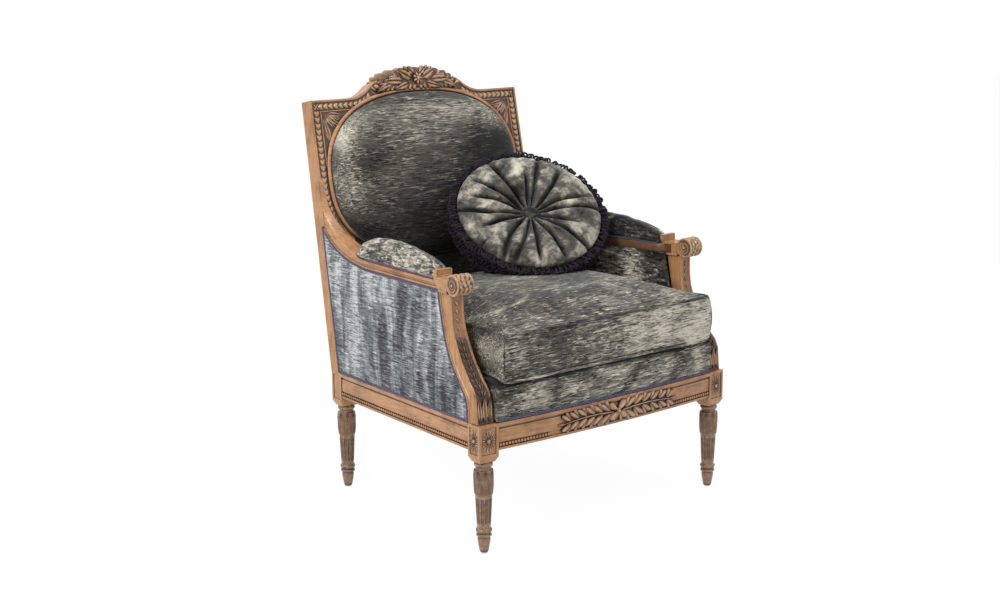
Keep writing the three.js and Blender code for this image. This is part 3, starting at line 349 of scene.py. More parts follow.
def weighted(piece):
    """Shades broad faces flat and leaves the eased edges to carry the turn."""
    normals = piece.modifiers.new("Weighted Normal", "WEIGHTED_NORMAL")
    normals.keep_sharp = True
    return piece


def new_form():
    """Empty bmesh whose points carry a tone: on the wood, dark staining and painted shade; on the velvet,
    painted light and shade; on the trims, the choice of strand colour.
    """
    bm = bmesh.new()
    bm.verts.layers.float.new("tone")
    return bm


def put(bm, rule, count=3):
    """Places every point by a rule of its coordinates, which may give its tone as a fourth number."""
    tone = bm.verts.layers.float["tone"]
    for vert in bm.verts:
        found = rule(*vert.co[:count])
        vert.co = found[:3]
        if len(found) > 3:
            vert[tone] = found[3]
    return bm


def everything(bm):
    return [*bm.verts, *bm.edges, *bm.faces]


def of_kind(items, kind):
    return [item for item in items if isinstance(item, kind)]


def sheet_of_cells(columns, rows, rule):
    """Grid whose points, each coordinate from -1 to 1, are placed by a rule."""
    bm = new_form()
    bmesh.ops.create_grid(bm, x_segments=columns, y_segments=rows, size=1)
    return put(bm, rule, 2)


def tube_of_cells(columns, rows, rule):
    """Grid that its rule wraps round, joined along its seam and closed at both ends."""
    bm = sheet_of_cells(columns, rows, rule)
    bmesh.ops.remove_doubles(bm, verts=bm.verts, dist=1e-3)
    bmesh.ops.holes_fill(bm, edges=bm.edges, sides=0)
    return bm


def block_of_cells(cells, rule):
    """Cube of cells, closed on every side, whose points from -1 to 1 are placed by a rule."""
    bm = new_form()
    bmesh.ops.create_cube(bm, size=2)
    for axis, count in enumerate(cells):
        for i in range(1, count):
            place = Vector()
            place[axis] = -1 + 2 * i / count
            normal = Vector()
            normal[axis] = 1
            bmesh.ops.bisect_plane(bm, geom=everything(bm), plane_co=place, plane_no=normal)
    return put(bm, rule)


def plate(outline, thickness, toning=0.0):
    """Closed plate: an outline carried straight along a vector."""
    bm = new_form()
    tone = bm.verts.layers.float["tone"]
    face = bm.faces.new([bm.verts.new(place) for place in outline])
    made = bmesh.ops.extrude_face_region(bm, geom=[face], use_keep_orig=True)["geom"]
    bmesh.ops.translate(bm, verts=of_kind(made, bmesh.types.BMVert), vec=thickness)
    for vert in bm.verts:
        vert[tone] = toning
    bmesh.ops.recalc_face_normals(bm, faces=bm.faces)
    return bm


def lathe(rows, steps, rule=None, matrix=Matrix()):
    """Round solid about Z from rows of (radius, height), which a rule may then carve."""
    bm = new_form()
    verts = [bm.verts.new((r, 0, z)) for r, z in rows]
    edges = [bm.edges.new(pair) for pair in zip(verts, verts[1:])]
    bmesh.ops.spin(
        bm, geom=verts + edges, cent=(0, 0, 0), axis=(0, 0, 1), angle=TAU, steps=steps, use_merge=True,
    )
    bmesh.ops.remove_doubles(bm, verts=bm.verts, dist=1e-4)
    if rule:
        put(bm, rule)
    bmesh.ops.transform(bm, matrix=matrix, verts=bm.verts)
    return bm


def absorb(bm, other):
    """Adds the second bmesh to the first."""
    mesh = bpy.data.meshes.new("carried")
    other.to_mesh(mesh)
    other.free()
    bm.from_mesh(mesh)
    bpy.data.meshes.remove(mesh)
    return bm


def moved(bm, matrix):
    bmesh.ops.transform(bm, matrix=matrix, verts=bm.verts)
    return bm


def run(form, path, section, up, closed=False, matrix=Matrix(), sizes=None, toning=0.0):
    """Carries a section of (across, up) points along a path, closes its ends and adds it to a form."""
    bm = new_form()
    count = len(path)
    frames = []
    for i, here in enumerate(path):
        ahead = path[(i + 1) % count] if closed or i < count - 1 else here
        behind = path[i - 1] if closed or i > 0 else here
        raised = up[i] if isinstance(up, list) else up
        place = frame_at(here, ahead - behind, raised)
        size = sizes[i] if sizes else 1.0
        frames.append(matrix @ place @ Matrix.Diagonal((1, size, size, 1)))
    ring = [bm.verts.new(frames[0] @ Vector((0, a, b))) for a, b in section]
    edges = [bm.edges.new((ring[i - 1], ring[i])) for i in range(len(ring))]
    first_edges = list(edges)
    for before, after in zip(frames, frames[1:]):
        made = bmesh.ops.extrude_edge_only(bm, edges=edges)["geom"]
        verts = of_kind(made, bmesh.types.BMVert)
        fresh = set(verts)
        edges = [edge for edge in of_kind(made, bmesh.types.BMEdge) if fresh.issuperset(edge.verts)]
        bmesh.ops.transform(bm, matrix=after @ before.inverted(), verts=verts)
    if closed:
        bmesh.ops.bridge_loops(bm, edges=edges + first_edges)
    else:
        bmesh.ops.contextual_create(bm, geom=first_edges)
        bmesh.ops.contextual_create(bm, geom=edges)
    if toning:
        tone = bm.verts.layers.float["tone"]
        for vert in bm.verts:
            vert[tone] = toning
    return absorb(form, bm)


def round_section(width, height, sides=8):
    return [
        (width / 2 * math.cos(TAU * i / sides), height / 2 * math.sin(TAU * i / sides)) for i in range(sides)
    ]


def flat_section(width, height):
    return [(-width / 2, -height / 2), (width / 2, -height / 2), (width / 2, height / 2),
            (-width / 2, height / 2)]


def grow(form, cells, rule):
    """Adds a closed round form, a unit sphere whose points are placed by a rule."""
    bm = new_form()
    bmesh.ops.create_uvsphere(bm, u_segments=cells[0], v_segments=cells[1], radius=1)
    return absorb(form, put(bm, rule))


def lobe(form, matrix, length, width, height, tip=0.5, ridge=0.0, bend=0.0, cells=(10, 6), root=0.0,
         barb=0.0, toning=0.0):
    """Closed carved drop, flat underneath: X runs along it from its root, Z is its rise."""
    def rule(across, up, along):
        t = (along + 1) / 2
        taper = (1 - tip * t) * (1 - root * (1 - t))
        level = up * ((1 - ridge * abs(across)) * (1 - 0.35 * tip * t) if up > 0 else 0.25)
        x = length * t - barb * width * abs(across)
        y = across * width / 2 * taper + bend * length * t * t
        # The tone darkens the low parts, down to the given floor: dark staining and painted shade in the
        # hollows.
        return (*(matrix @ Vector((x, y, level * height))), max(toning, smooth_step(0.62, 0.08, level)))
    return grow(form, cells, rule)


def acanthus(form, matrix, length, width, height, lobes=4, curl=0.0, bend=0.0, cells=(22, 14)):
    """Closed carved leaf with lobed edges, a sunk rib and furrows; X runs from root to tip."""
    def rule(across, up, along):
        t = (along + 1) / 2
        outline = math.sin(math.pi * clamp(t * 0.9 + 0.08)) ** 0.6 * (1 - 0.45 * t * t)
        notch = (
            1 - 0.38 * (1 - abs(math.sin(math.pi * (lobes * t + 0.25)))) * smooth_step(0.2, 0.8, abs(across))
        )
        furrow = (
            0.42 * abs(math.sin(math.pi * (lobes * t - 1.1 * abs(across))))
            * smooth_step(0.1, 0.7, abs(across))
        )
        rib = 0.4 * math.exp(-(across / 0.1) ** 2)
        level = up * (0.6 + furrow - rib) if up > 0 else up * 0.2
        x = length * (t - 0.12 * abs(across) * (1 - t))
        y = across * width / 2 * outline * notch + bend * length * t * t
        z = level * height + curl * height * smooth_step(0.6, 1.0, t)
        # The tone darkens the low parts: dark staining and painted shade in the hollows.
        return (*(matrix @ Vector((x, y, z))), smooth_step(0.66, 0.22, level))
    return grow(form, cells, rule)


def ball(form, matrix, radius, flat=1.0, cells=(8, 5)):
    return grow(form, cells, lambda x, y, z: matrix @ Vector((x * radius, y * radius, z * radius * flat)))


def copied_node(node):
    """Mesh of a node with its loose triangles joined and its flat faces made whole."""
    bm = new_form()
    bm.from_mesh(frame["nodes"][node].data)
    bmesh.ops.remove_doubles(bm, verts=bm.verts, dist=2e-5)
    bmesh.ops.dissolve_limit(bm, angle_limit=math.radians(0.6), verts=bm.verts, edges=bm.edges)
    return bm


def cut_away(bm, point, normal):
    """Cuts away what lies beyond a plane and closes the cut."""
    cut = bmesh.ops.bisect_plane(bm, geom=everything(bm), plane_co=point, plane_no=normal, clear_outer=True)
    bmesh.ops.holes_fill(bm, edges=of_kind(cut["geom_cut"], bmesh.types.BMEdge), sides=0)
    return bm


def ease_edges(bm, width, angle=28, segments=2):
    limit = math.radians(angle)
    edges = [edge for edge in bm.edges if edge.calc_face_angle(0.0) > limit]
    bmesh.ops.bevel(
        bm, geom=edges, offset=width, offset_type="OFFSET", affect="EDGES", segments=segments,
        profile=0.5, material=-1, clamp_overlap=True,
    )
    return bm


# Materials ----------------------------------------------------------------

def link(tree, source, target):
    tree.links.new(source, target)


def set_inputs(node, values):
    for key, value in values.items():
        node.inputs[key].default_value = value


def math_node(tree, operation, first, second=None, third=None):
    node = tree.nodes.new("ShaderNodeMath")
    node.operation = operation
    for socket, value in zip(node.inputs, (first, second, third)):
        if value is None:
            continue
        if isinstance(value, (int, float)):
            socket.default_value = value
        else:
            link(tree, value, socket)
    return node.outputs[0]


def ramp_node(tree, source, low, high, to_low=0.0, to_high=1.0):
    node = tree.nodes.new("ShaderNodeMapRange")
    node.interpolation_type = "SMOOTHSTEP"
    link(tree, source, node.inputs["Value"])
    set_inputs(node, {"From Min": low, "From Max": high, "To Min": to_low, "To Max": to_high})
    return node.outputs["Result"]


def colour_mix(tree, factor, first, second, blend="MIX"):
    node = tree.nodes.new("ShaderNodeMix")
    node.data_type = "RGBA"
    node.blend_type = blend
    if isinstance(factor, (int, float)):
        node.inputs["Factor"].default_value = factor
    else:
        link(tree, factor, node.inputs["Factor"])
    for name, value in (("A", first), ("B", second)):
        socket = [item for item in node.inputs if item.name == name and item.type == "RGBA"][0]
        if isinstance(value, bpy.types.NodeSocket):
            link(tree, value, socket)
        else:
            socket.default_value = value
    return [item for item in node.outputs if item.type == "RGBA"][0]


def noise_node(tree, vector, scale, detail=3.0, roughness=0.5, distortion=0.0):
    node = tree.nodes.new("ShaderNodeTexNoise")
    set_inputs(node, {"Scale": scale, "Detail": detail, "Roughness": roughness, "Distortion": distortion})
    link(tree, vector, node.inputs["Vector"])
    return node.outputs["Fac"]


def stretched(tree, vector, scale):
    node = tree.nodes.new("ShaderNodeMapping")
    node.inputs["Scale"].default_value = scale
    link(tree, vector, node.inputs["Vector"])
    return node.outputs["Vector"]


def new_group(name, inputs, outputs):
    tree = bpy.data.node_groups.new(name, "ShaderNodeTree")
    for label, kind, default in inputs:
        socket = tree.interface.new_socket(label, in_out="INPUT", socket_type=kind)
        if default is not None:
            socket.default_value = default
    for label, kind in outputs:
        tree.interface.new_socket(label, in_out="OUTPUT", socket_type=kind)
    return tree, tree.nodes.new("NodeGroupInput").outputs, tree.nodes.new("NodeGroupOutput").inputs


def make_wood_group():
    """Honey wood with grain, darkened in its hollows and by its stored tone with dark staining and painted
    shade, and paler where it lies open, with wear from rubbing and painted highlight.
    """
    tree, given, out = new_group(
        "rubbed_wood",
        [
            ("Vector", "NodeSocketVector", None), ("Grain Vector", "NodeSocketVector", None),
            ("Recess", "NodeSocketFloat", 1.0), ("Rub and Highlight", "NodeSocketFloat", 0.1),
            ("Tone", "NodeSocketFloat", 0.0),
            ("Honey", "NodeSocketColor", None), ("Brown", "NodeSocketColor", None),
            ("Stain and Shade", "NodeSocketColor", None), ("Rubbed and Highlight", "NodeSocketColor", None),
            ("Patina", "NodeSocketColor", None), ("Patina Amount", "NodeSocketFloat", 0.3),
        ],
        [("Color", "NodeSocketColor"), ("Roughness", "NodeSocketFloat"), ("Height", "NodeSocketFloat")],
    )
    grain = noise_node(tree, given["Grain Vector"], 1.0, 5.0, 0.6, 0.6)
    fine = noise_node(tree, given["Grain Vector"], 5.0, 3.0, 0.6, 0.2)
    cloudy = noise_node(tree, given["Vector"], 16.0, 3.0, 0.55)
    tint = math_node(tree, "ADD", math_node(tree, "MULTIPLY", ramp_node(tree, grain, 0.42, 0.66), 0.45),
                     math_node(tree, "MULTIPLY", ramp_node(tree, cloudy, 0.4, 0.72), 0.5))
    colour = colour_mix(tree, tint, given["Honey"], given["Brown"])
    dust = noise_node(tree, given["Vector"], 95.0, 4.0, 0.7)
    dusty = math_node(tree, "MULTIPLY", ramp_node(tree, dust, 0.45, 0.62), given["Patina Amount"])
    colour = colour_mix(tree, dusty, colour, given["Patina"])
    # Hollows found by ambient occlusion, and the stored tone, darken the wood: partly dark staining, partly
    # painted shade.
    covered = ramp_node(tree, given["Recess"], 0.92, 0.45)
    uneven = math_node(tree, "MULTIPLY", given["Tone"], ramp_node(tree, dust, 0.3, 0.6, 0.85, 1.0))
    hollow = math_node(tree, "MAXIMUM", covered, uneven)
    colour = colour_mix(tree, hollow, colour, given["Stain and Shade"])
    # Paler where the wood lies open and its tone is low: partly wear from rubbing, partly painted highlight.
    wear_and_highlight = math_node(tree, "MULTIPLY", ramp_node(tree, given["Recess"], 0.9, 1.0),
                     ramp_node(tree, given["Tone"], 0.4, 0.0))
    worn = math_node(tree, "MULTIPLY", wear_and_highlight, ramp_node(tree, dust, 0.35, 0.6, 0.4, 1.0))
    colour = colour_mix(tree, math_node(tree, "MULTIPLY", worn, given["Rub and Highlight"]), colour, given["Rubbed and Highlight"])
    link(tree, colour, out["Color"])
    link(tree, math_node(tree, "ADD", ramp_node(tree, cloudy, 0.3, 0.7, 0.3, 0.46),
                         math_node(tree, "MULTIPLY", hollow, 0.2)), out["Roughness"])
    link(tree, math_node(tree, "ADD", math_node(tree, "MULTIPLY", fine, 0.35),
                         math_node(tree, "MULTIPLY", dust, 0.35)), out["Height"])
    return tree


def make_velvet_group():
    """Crushed velvet: dark pile broken by pale streaks that run across it, over soft patches, with light and
    shade painted in by the stored tone.
    """
    tree, given, out = new_group(
        "crushed_velvet",
        [
            ("Streak Vector", "NodeSocketVector", None), ("Patch Vector", "NodeSocketVector", None),
            ("Dark", "NodeSocketColor", None), ("Middle", "NodeSocketColor", None),
            ("Pale", "NodeSocketColor", None), ("Streaks", "NodeSocketFloat", 2.0),
            ("Patches", "NodeSocketFloat", 2.0), ("Tone", "NodeSocketFloat", 0.0),
        ],
        [("Color", "NodeSocketColor"), ("Roughness", "NodeSocketFloat"), ("Height", "NodeSocketFloat")],
    )
    patches = noise_node(tree, given["Patch Vector"], 1.0, 3.0, 0.55, 0.8)
    streaks = noise_node(tree, given["Streak Vector"], 1.0, 3.0, 0.6, 0.9)
    broken = noise_node(tree, given["Patch Vector"], 5.5, 3.0, 0.6, 0.5)
    wide = math_node(tree, "MULTIPLY", math_node(tree, "SUBTRACT", patches, 0.5), given["Patches"])
    thin = math_node(tree, "MULTIPLY", math_node(tree, "SUBTRACT", streaks, 0.5), given["Streaks"])
    crossed = math_node(tree, "MULTIPLY", thin, ramp_node(tree, broken, 0.35, 0.65, 0.45, 1.35))
    # The stored tone lifts and lowers the level: painted light and shade.
    middle = math_node(tree, "MULTIPLY_ADD", given["Tone"], 0.5, 0.5)
    level = math_node(tree, "ADD", middle, math_node(tree, "ADD", wide, crossed))
    base = colour_mix(tree, ramp_node(tree, level, 0.02, 0.52), given["Dark"], given["Middle"])
    colour = colour_mix(tree, ramp_node(tree, level, 0.45, 1.3), base, given["Pale"])
    link(tree, colour, out["Color"])
    link(tree, ramp_node(tree, level, 0.0, 1.0, 0.78, 0.52), out["Roughness"])
    pile = noise_node(tree, given["Streak Vector"], 4.0, 3.0, 0.7)
    link(tree, math_node(tree, "ADD", math_node(tree, "MULTIPLY", streaks, 0.7),
                         math_node(tree, "MULTIPLY", pile, 0.3)), out["Height"])
    return tree


def make_braid_group():
    """Twisted cord and looped trim: strands of two colours with dark gaps between them."""
    tree, given, out = new_group(
        "twisted_trim",
        [
            ("Vector", "NodeSocketVector", None), ("First", "NodeSocketColor", None),
            ("Second", "NodeSocketColor", None), ("Gap", "NodeSocketColor", None),
            ("Scale", "NodeSocketFloat", 260.0), ("Tone", "NodeSocketFloat", 0.0),
        ],
        [("Color", "NodeSocketColor"), ("Height", "NodeSocketFloat")],
    )
    cells = tree.nodes.new("ShaderNodeTexVoronoi")
    link(tree, given["Vector"], cells.inputs["Vector"])
    link(tree, given["Scale"], cells.inputs["Scale"])
    tint = noise_node(tree, given["Vector"], 60.0, 2.0)
    second = math_node(tree, "ADD", given["Tone"], ramp_node(tree, tint, 0.35, 0.65, -0.2, 0.2))
    colour = colour_mix(tree, ramp_node(tree, second, 0.0, 1.0), given["First"], given["Second"])
    colour = colour_mix(tree, ramp_node(tree, cells.outputs["Distance"], 0.45, 0.85), colour, given["Gap"])
    link(tree, colour, out["Color"])
    link(tree, ramp_node(tree, cells.outputs["Distance"], 0.9, 0.0), out["Height"])
    return tree


def start_material(name):
    material = bpy.data.materials.new(name)
    material.use_nodes = True
    tree = material.node_tree
    tree.nodes.clear()
    shader = tree.nodes.new("ShaderNodeBsdfPrincipled")
    out = tree.nodes.new("ShaderNodeOutputMaterial")
    link(tree, shader.outputs[0], out.inputs["Surface"])
    coordinates = tree.nodes.new("ShaderNodeTexCoord").outputs["Object"]
    return tree, shader, coordinates


def bump(tree, shader, height, distance, strength=0.6):
    node = tree.nodes.new("ShaderNodeBump")
    set_inputs(node, {"Strength": strength, "Distance": distance})
    link(tree, height, node.inputs["Height"])
    link(tree, node.outputs["Normal"], shader.inputs["Normal"])


def place_group(tree, group, colours, numbers):
    node = tree.nodes.new("ShaderNodeGroup")
    node.node_tree = group
    set_inputs(node, {key: (*value, 1) for key, value in colours.items()})
    set_inputs(node, numbers)
    return node


def tone_of(tree):
    node = tree.nodes.new("ShaderNodeAttribute")
    node.attribute_name = "tone"
    return node.outputs["Fac"]


def make_wood(name, group, shades, grain, patina, polish, rub_and_highlight, darker=1.0):
    tree, shader, coordinates = start_material(name)
    honey, brown = ([value * darker for value in shade] for shade in (shades.honey, shades.brown))
    node = place_group(
        tree, group,
        {"Honey": honey, "Brown": brown, "Stain and Shade": shades.toning, "Rubbed and Highlight": shades.rubbed_and_highlight,
         "Patina": shades.patina},
        {"Patina Amount": patina, "Rub and Highlight": rub_and_highlight},
    )
    link(tree, coordinates, node.inputs["Vector"])
    link(tree, stretched(tree, coordinates, grain), node.inputs["Grain Vector"])
    # Ambient occlusion finds the hollows that the group darkens with staining and painted shade.
    hollow = tree.nodes.new("ShaderNodeAmbientOcclusion")
    hollow.samples = 6
    hollow.inputs["Distance"].default_value = 0.011
    link(tree, hollow.outputs["AO"], node.inputs["Recess"])
    link(tree, tone_of(tree), node.inputs["Tone"])
    link(tree, node.outputs["Color"], shader.inputs["Base Color"])
    link(tree, node.outputs["Roughness"], shader.inputs["Roughness"])
    bump(tree, shader, node.outputs["Height"], 0.0005, 0.35)
    set_inputs(shader, {"Coat Weight": polish, "Coat Roughness": 0.28})


def make_velvet(name, group, shades, streak_scale, patch_scale, streaks, patches, sheen):
    tree, shader, coordinates = start_material(name)
    node = place_group(
        tree, group, {"Dark": shades[0], "Middle": shades[1], "Pale": shades[2]},
        {"Streaks": streaks, "Patches": patches},
    )
    link(tree, stretched(tree, coordinates, streak_scale), node.inputs["Streak Vector"])
    link(tree, stretched(tree, coordinates, patch_scale), node.inputs["Patch Vector"])
    link(tree, tone_of(tree), node.inputs["Tone"])
    link(tree, node.outputs["Color"], shader.inputs["Base Color"])
    link(tree, node.outputs["Roughness"], shader.inputs["Roughness"])
    set_inputs(shader, {
        "Sheen Weight": sheen, "Sheen Roughness": 0.4, "Sheen Tint": (0.72, 0.76, 0.8, 1),
        "Specular IOR Level": 0.2,
    })
    bump(tree, shader, node.outputs["Height"], 0.0016, 0.55)


def make_trim(name, group, first, second, gap, scale, distance):
    tree, shader, coordinates = start_material(name)
    node = place_group(tree, group, {"First": first, "Second": second, "Gap": gap}, {"Scale": scale})
    link(tree, coordinates, node.inputs["Vector"])
    link(tree, tone_of(tree), node.inputs["Tone"])
    link(tree, node.outputs["Color"], shader.inputs["Base Color"])
    set_inputs(shader, {"Roughness": 0.7, "Sheen Weight": 0.08, "Specular IOR Level": 0.2})
    bump(tree, shader, node.outputs["Height"], distance, 0.8)


def make_woven(name, colour, other, scale, distance=0.0004):
    """Plain weave: crossing threads on Object coordinates."""
    tree, shader, coordinates = start_material(name)
    waves = []
    for direction in ("X", "Y"):
        node = tree.nodes.new("ShaderNodeTexWave")
        node.bands_direction = direction
        set_inputs(node, {"Scale": scale, "Distortion": 1.2, "Detail": 1.0})
        link(tree, coordinates, node.inputs["Vector"])
        waves.append(node.outputs["Fac"])
    height = math_node(tree, "MAXIMUM", *waves)
    worn = ramp_node(tree, noise_node(tree, coordinates, 22.0, 3.0), 0.35, 0.7)
    shade = colour_mix(tree, worn, (*colour, 1), (*other, 1))
    shade = colour_mix(tree, ramp_node(tree, height, 0.9, 0.3, 0.0, 0.5), shade, (0.01, 0.01, 0.01, 1))
    link(tree, shade, shader.inputs["Base Color"])
    shader.inputs["Roughness"].default_value = 0.85
    bump(tree, shader, height, distance)


def make_steel(name, colour):
    tree, shader, coordinates = start_material(name)
    scratches = noise_node(tree, stretched(tree, coordinates, (90, 90, 900)), 1.0, 4.0, 0.6)
    shade = colour_mix(tree, ramp_node(tree, scratches, 0.4, 0.7), (*colour, 1),
                       (*[value * 0.55 for value in colour], 1))
    link(tree, shade, shader.inputs["Base Color"])
    link(tree, ramp_node(tree, scratches, 0.3, 0.7, 0.24, 0.5), shader.inputs["Roughness"])
    shader.inputs["Metallic"].default_value = 1.0
    bump(tree, shader, scratches, 0.0001, 0.3)


# Settings -----------------------------------------------------------------

def colour_setting(name, description, default):
    return FloatVectorProperty(
        name=name, description=description, subtype="COLOR", size=3, min=0, max=1, default=default,
    )


def length_setting(name, description, default, low=0.0, high=1.0):
    return FloatProperty(
        name=name, description=description, unit="LENGTH", subtype="DISTANCE", default=default, min=low,
        max=high,
    )


class ChairColours(bpy.types.PropertyGroup):
    honey: colour_setting("Honey", "Lighter colour of the show-wood", (0.62, 0.3, 0.112))
    brown: colour_setting("Brown", "Darker colour of the show-wood's figure", (0.2, 0.078, 0.024))
    # Colour of the dark staining and of the painted shade in hollows and on shaded parts of the wood.
    toning: colour_setting("Stain and Shade", "Dark stain left in the hollows of the carving", (0.026, 0.012, 0.008))
    # Pale colour of the wear from rubbing and of the painted highlights on open parts of the wood.
    rubbed_and_highlight: colour_setting("Rubbed and Highlight", "Pale colour of rubbed edges", (0.68, 0.43, 0.24))
    patina: colour_setting("Patina", "Grey film on the carving", (0.42, 0.34, 0.35))
    velvet_dark: colour_setting("Velvet dark", "Velvet seen against its pile", (0.007, 0.007, 0.006))
    velvet_middle: colour_setting("Velvet middle", "Velvet between its streaks", (0.085, 0.08, 0.067))
    velvet_pale: colour_setting("Velvet pale", "Velvet where the pile catches the light", (0.82, 0.765, 0.63))
    panel_dark: colour_setting("Panel dark", "Dark flecks of the outer panels", (0.035, 0.038, 0.04))
    panel_middle: colour_setting("Panel middle", "Middle tone of the outer panels", (0.19, 0.205, 0.21))
    panel_pale: colour_setting("Panel pale", "Pale flecks of the outer panels", (0.76, 0.79, 0.8))
    gimp_first: colour_setting("Gimp purple", "First strand of the gimp", (0.3, 0.14, 0.3))
    gimp_second: colour_setting("Gimp blue", "Second strand of the gimp", (0.1, 0.17, 0.24))
    fringe_first: colour_setting("Fringe", "Loops of the fringe", (0.006, 0.004, 0.009))
    fringe_second: colour_setting("Fringe lights", "Lighter loops of the fringe", (0.04, 0.02, 0.048))


class ChairSizes(bpy.types.PropertyGroup):
    flute_depth: length_setting("Flute depth", "Depth of the flutes of the legs", 0.0026)
    edge_ease: length_setting("Eased edge", "Rounding of the edges of the show-wood", 0.0011)
    bead_radius: length_setting("Bead radius", "Radius of the beads along the rails", 0.0037)
    bead_pitch: length_setting("Bead pitch", "Distance from bead to bead", 0.0086)
    coin_pitch: length_setting("Coin pitch", "Distance between the notched coins of the back", 0.0145)
    gimp_width: length_setting("Gimp width", "Width of the cord at the edges of the covers", 0.0058)
    piping: length_setting("Piping", "Thickness of the piping of the seat cushion", 0.0072)
    sim_cap: length_setting("Most swell", "How far the filling may push the seat cover out", 0.012)
    pleats: IntProperty(name="Pleats", description="Number of pleats of the round cushion", default=16,
                        min=6, max=32)


class StageSettings(bpy.types.PropertyGroup):
    floor: colour_setting("Floor", "Colour of the studio floor", (0.9, 0.9, 0.9))
    key_power: FloatProperty(name="Key lamp", description="Power of the main softbox", default=75, min=0,
                             unit="POWER")
    fill_power: FloatProperty(name="Fill lamp", description="Power of the fill softbox", default=11, min=0,
                              unit="POWER")
    lens: FloatProperty(name="Lens", description="Focal length in millimetres", default=59.229, min=1)


# Show-wood ----------------------------------------------------------------

LEG_ROWS = (
    (0.0, 0.0), (0.40, 0.0), (0.43, 0.008), (0.47, 0.03), (0.54, 0.07), (0.6, 0.11), (0.635, 0.138),
    (0.62, 0.152), (0.575, 0.16), (0.575, 0.167), (0.68, 0.172), (0.745, 0.18), (0.76, 0.189), (0.745, 0.198),
    (0.68, 0.206), (0.63, 0.21), (0.63, 0.217), (0.72, 0.222), (0.785, 0.232), (0.8, 0.243), (0.785, 0.254),
    (0.72, 0.262), (0.665, 0.267), (0.665, 0.28), (0.68, 0.3), (0.69, 0.325), (0.82, 0.628), (0.83, 0.637),
    (0.87, 0.641), (0.9, 0.652), (0.915, 0.68), (0.93, 0.72), (0.955, 0.78), (0.985, 0.84), (1.0, 0.875),
    (0.985, 0.9), (0.93, 0.912), (0.8, 0.918), (0.76, 0.925), (0.75, 0.935), (0.77, 0.946), (0.85, 0.953),
    (0.9, 0.962), (0.915, 0.972), (0.9, 0.982), (0.84, 0.99), (0.76, 1.0), (0.0, 1.0),
)
FLUTES = 12
LEAVES = 8


def leg_rows(rise, radius):
    """Rows of the turned leg, close enough together to carve."""
    rows = [(radius * LEG_ROWS[0][0], GLIDE_TOP + rise * LEG_ROWS[0][1])]
    for (r0, z0), (r1, z1) in zip(LEG_ROWS, LEG_ROWS[1:]):
        parts = max(1, math.ceil((z1 - z0) / 0.013)) if r0 and r1 else 1
        for i in range(1, parts + 1):
            rows.append((radius * mix(r0, r1, i / parts), GLIDE_TOP + rise * mix(z0, z1, i / parts)))
    return rows


def carved_leg(flute_depth):
    rise, radius = LEG_TOP - GLIDE_TOP, 23.0
    flute_low, flute_high = GLIDE_TOP + 0.325 * rise, GLIDE_TOP + 0.6 * rise

    def carve(x, y, z):
        r = math.hypot(x, y)
        up = (z - GLIDE_TOP) / rise
        if r < 1e-3:
            return (x, y, z)
        angle = math.atan2(y, x)
        change = toning = 0.0
        if 0.29 < up < 0.635:
            half = 0.34 * TAU * r / FLUTES
            across = r * (((angle / TAU * FLUTES) % 1) - 0.5) * TAU / FLUTES
            beyond = max(0.0, flute_low + half - z, z - (flute_high - half))
            off = math.hypot(across, beyond) / half
            change = -flute_depth * math.sqrt(max(0.0, 1 - off * off))
            # Darker rims in the flutes: dark staining and painted shade.
            toning = 0.8 * smooth_step(1.2, 0.95, off) * smooth_step(0.55, 0.85, off)
        if 0.645 < up < 0.91:
            t = (up - 0.645) / 0.265
            leaf = abs(((angle / TAU * LEAVES) % 1) - 0.5) * 2
            behind = abs(((angle / TAU * LEAVES + 0.5) % 1) - 0.5) * 2
            width = 0.92 * (1 - smooth_step(0.5, 1.0, t)) + 0.1
            front = 1 - smooth_step(width - 0.2, width, leaf)
            vein = (
                0.4 * math.exp(-(leaf / 0.12) ** 2) + 0.35 * abs(math.sin(math.pi * (2.5 * leaf - 0.5 * t)))
            )
            rear = 0.55 * (1 - smooth_step(0.5, 0.8, behind))
            level = max(front * (1.0 - vein), rear)
            change = 3.2 * (level - 0.75) * smooth_step(0.0, 0.06, t)
            # Darker between and low on the leaves: dark staining and painted shade.
            toning = 0.25 + 0.7 * smooth_step(0.62, 0.15, level)
        share = 1 + change / r
        return (x * share, y * share, z, toning)

    return lathe(leg_rows(rise, radius), 120, carve)


class ChairOperator:
    bl_options = {"INTERNAL"}

    def execute(self, context):
        self.build(context.scene.chair_sizes, context.scene.chair_colours, context.scene.chair_stage)
        return {"FINISHED"}


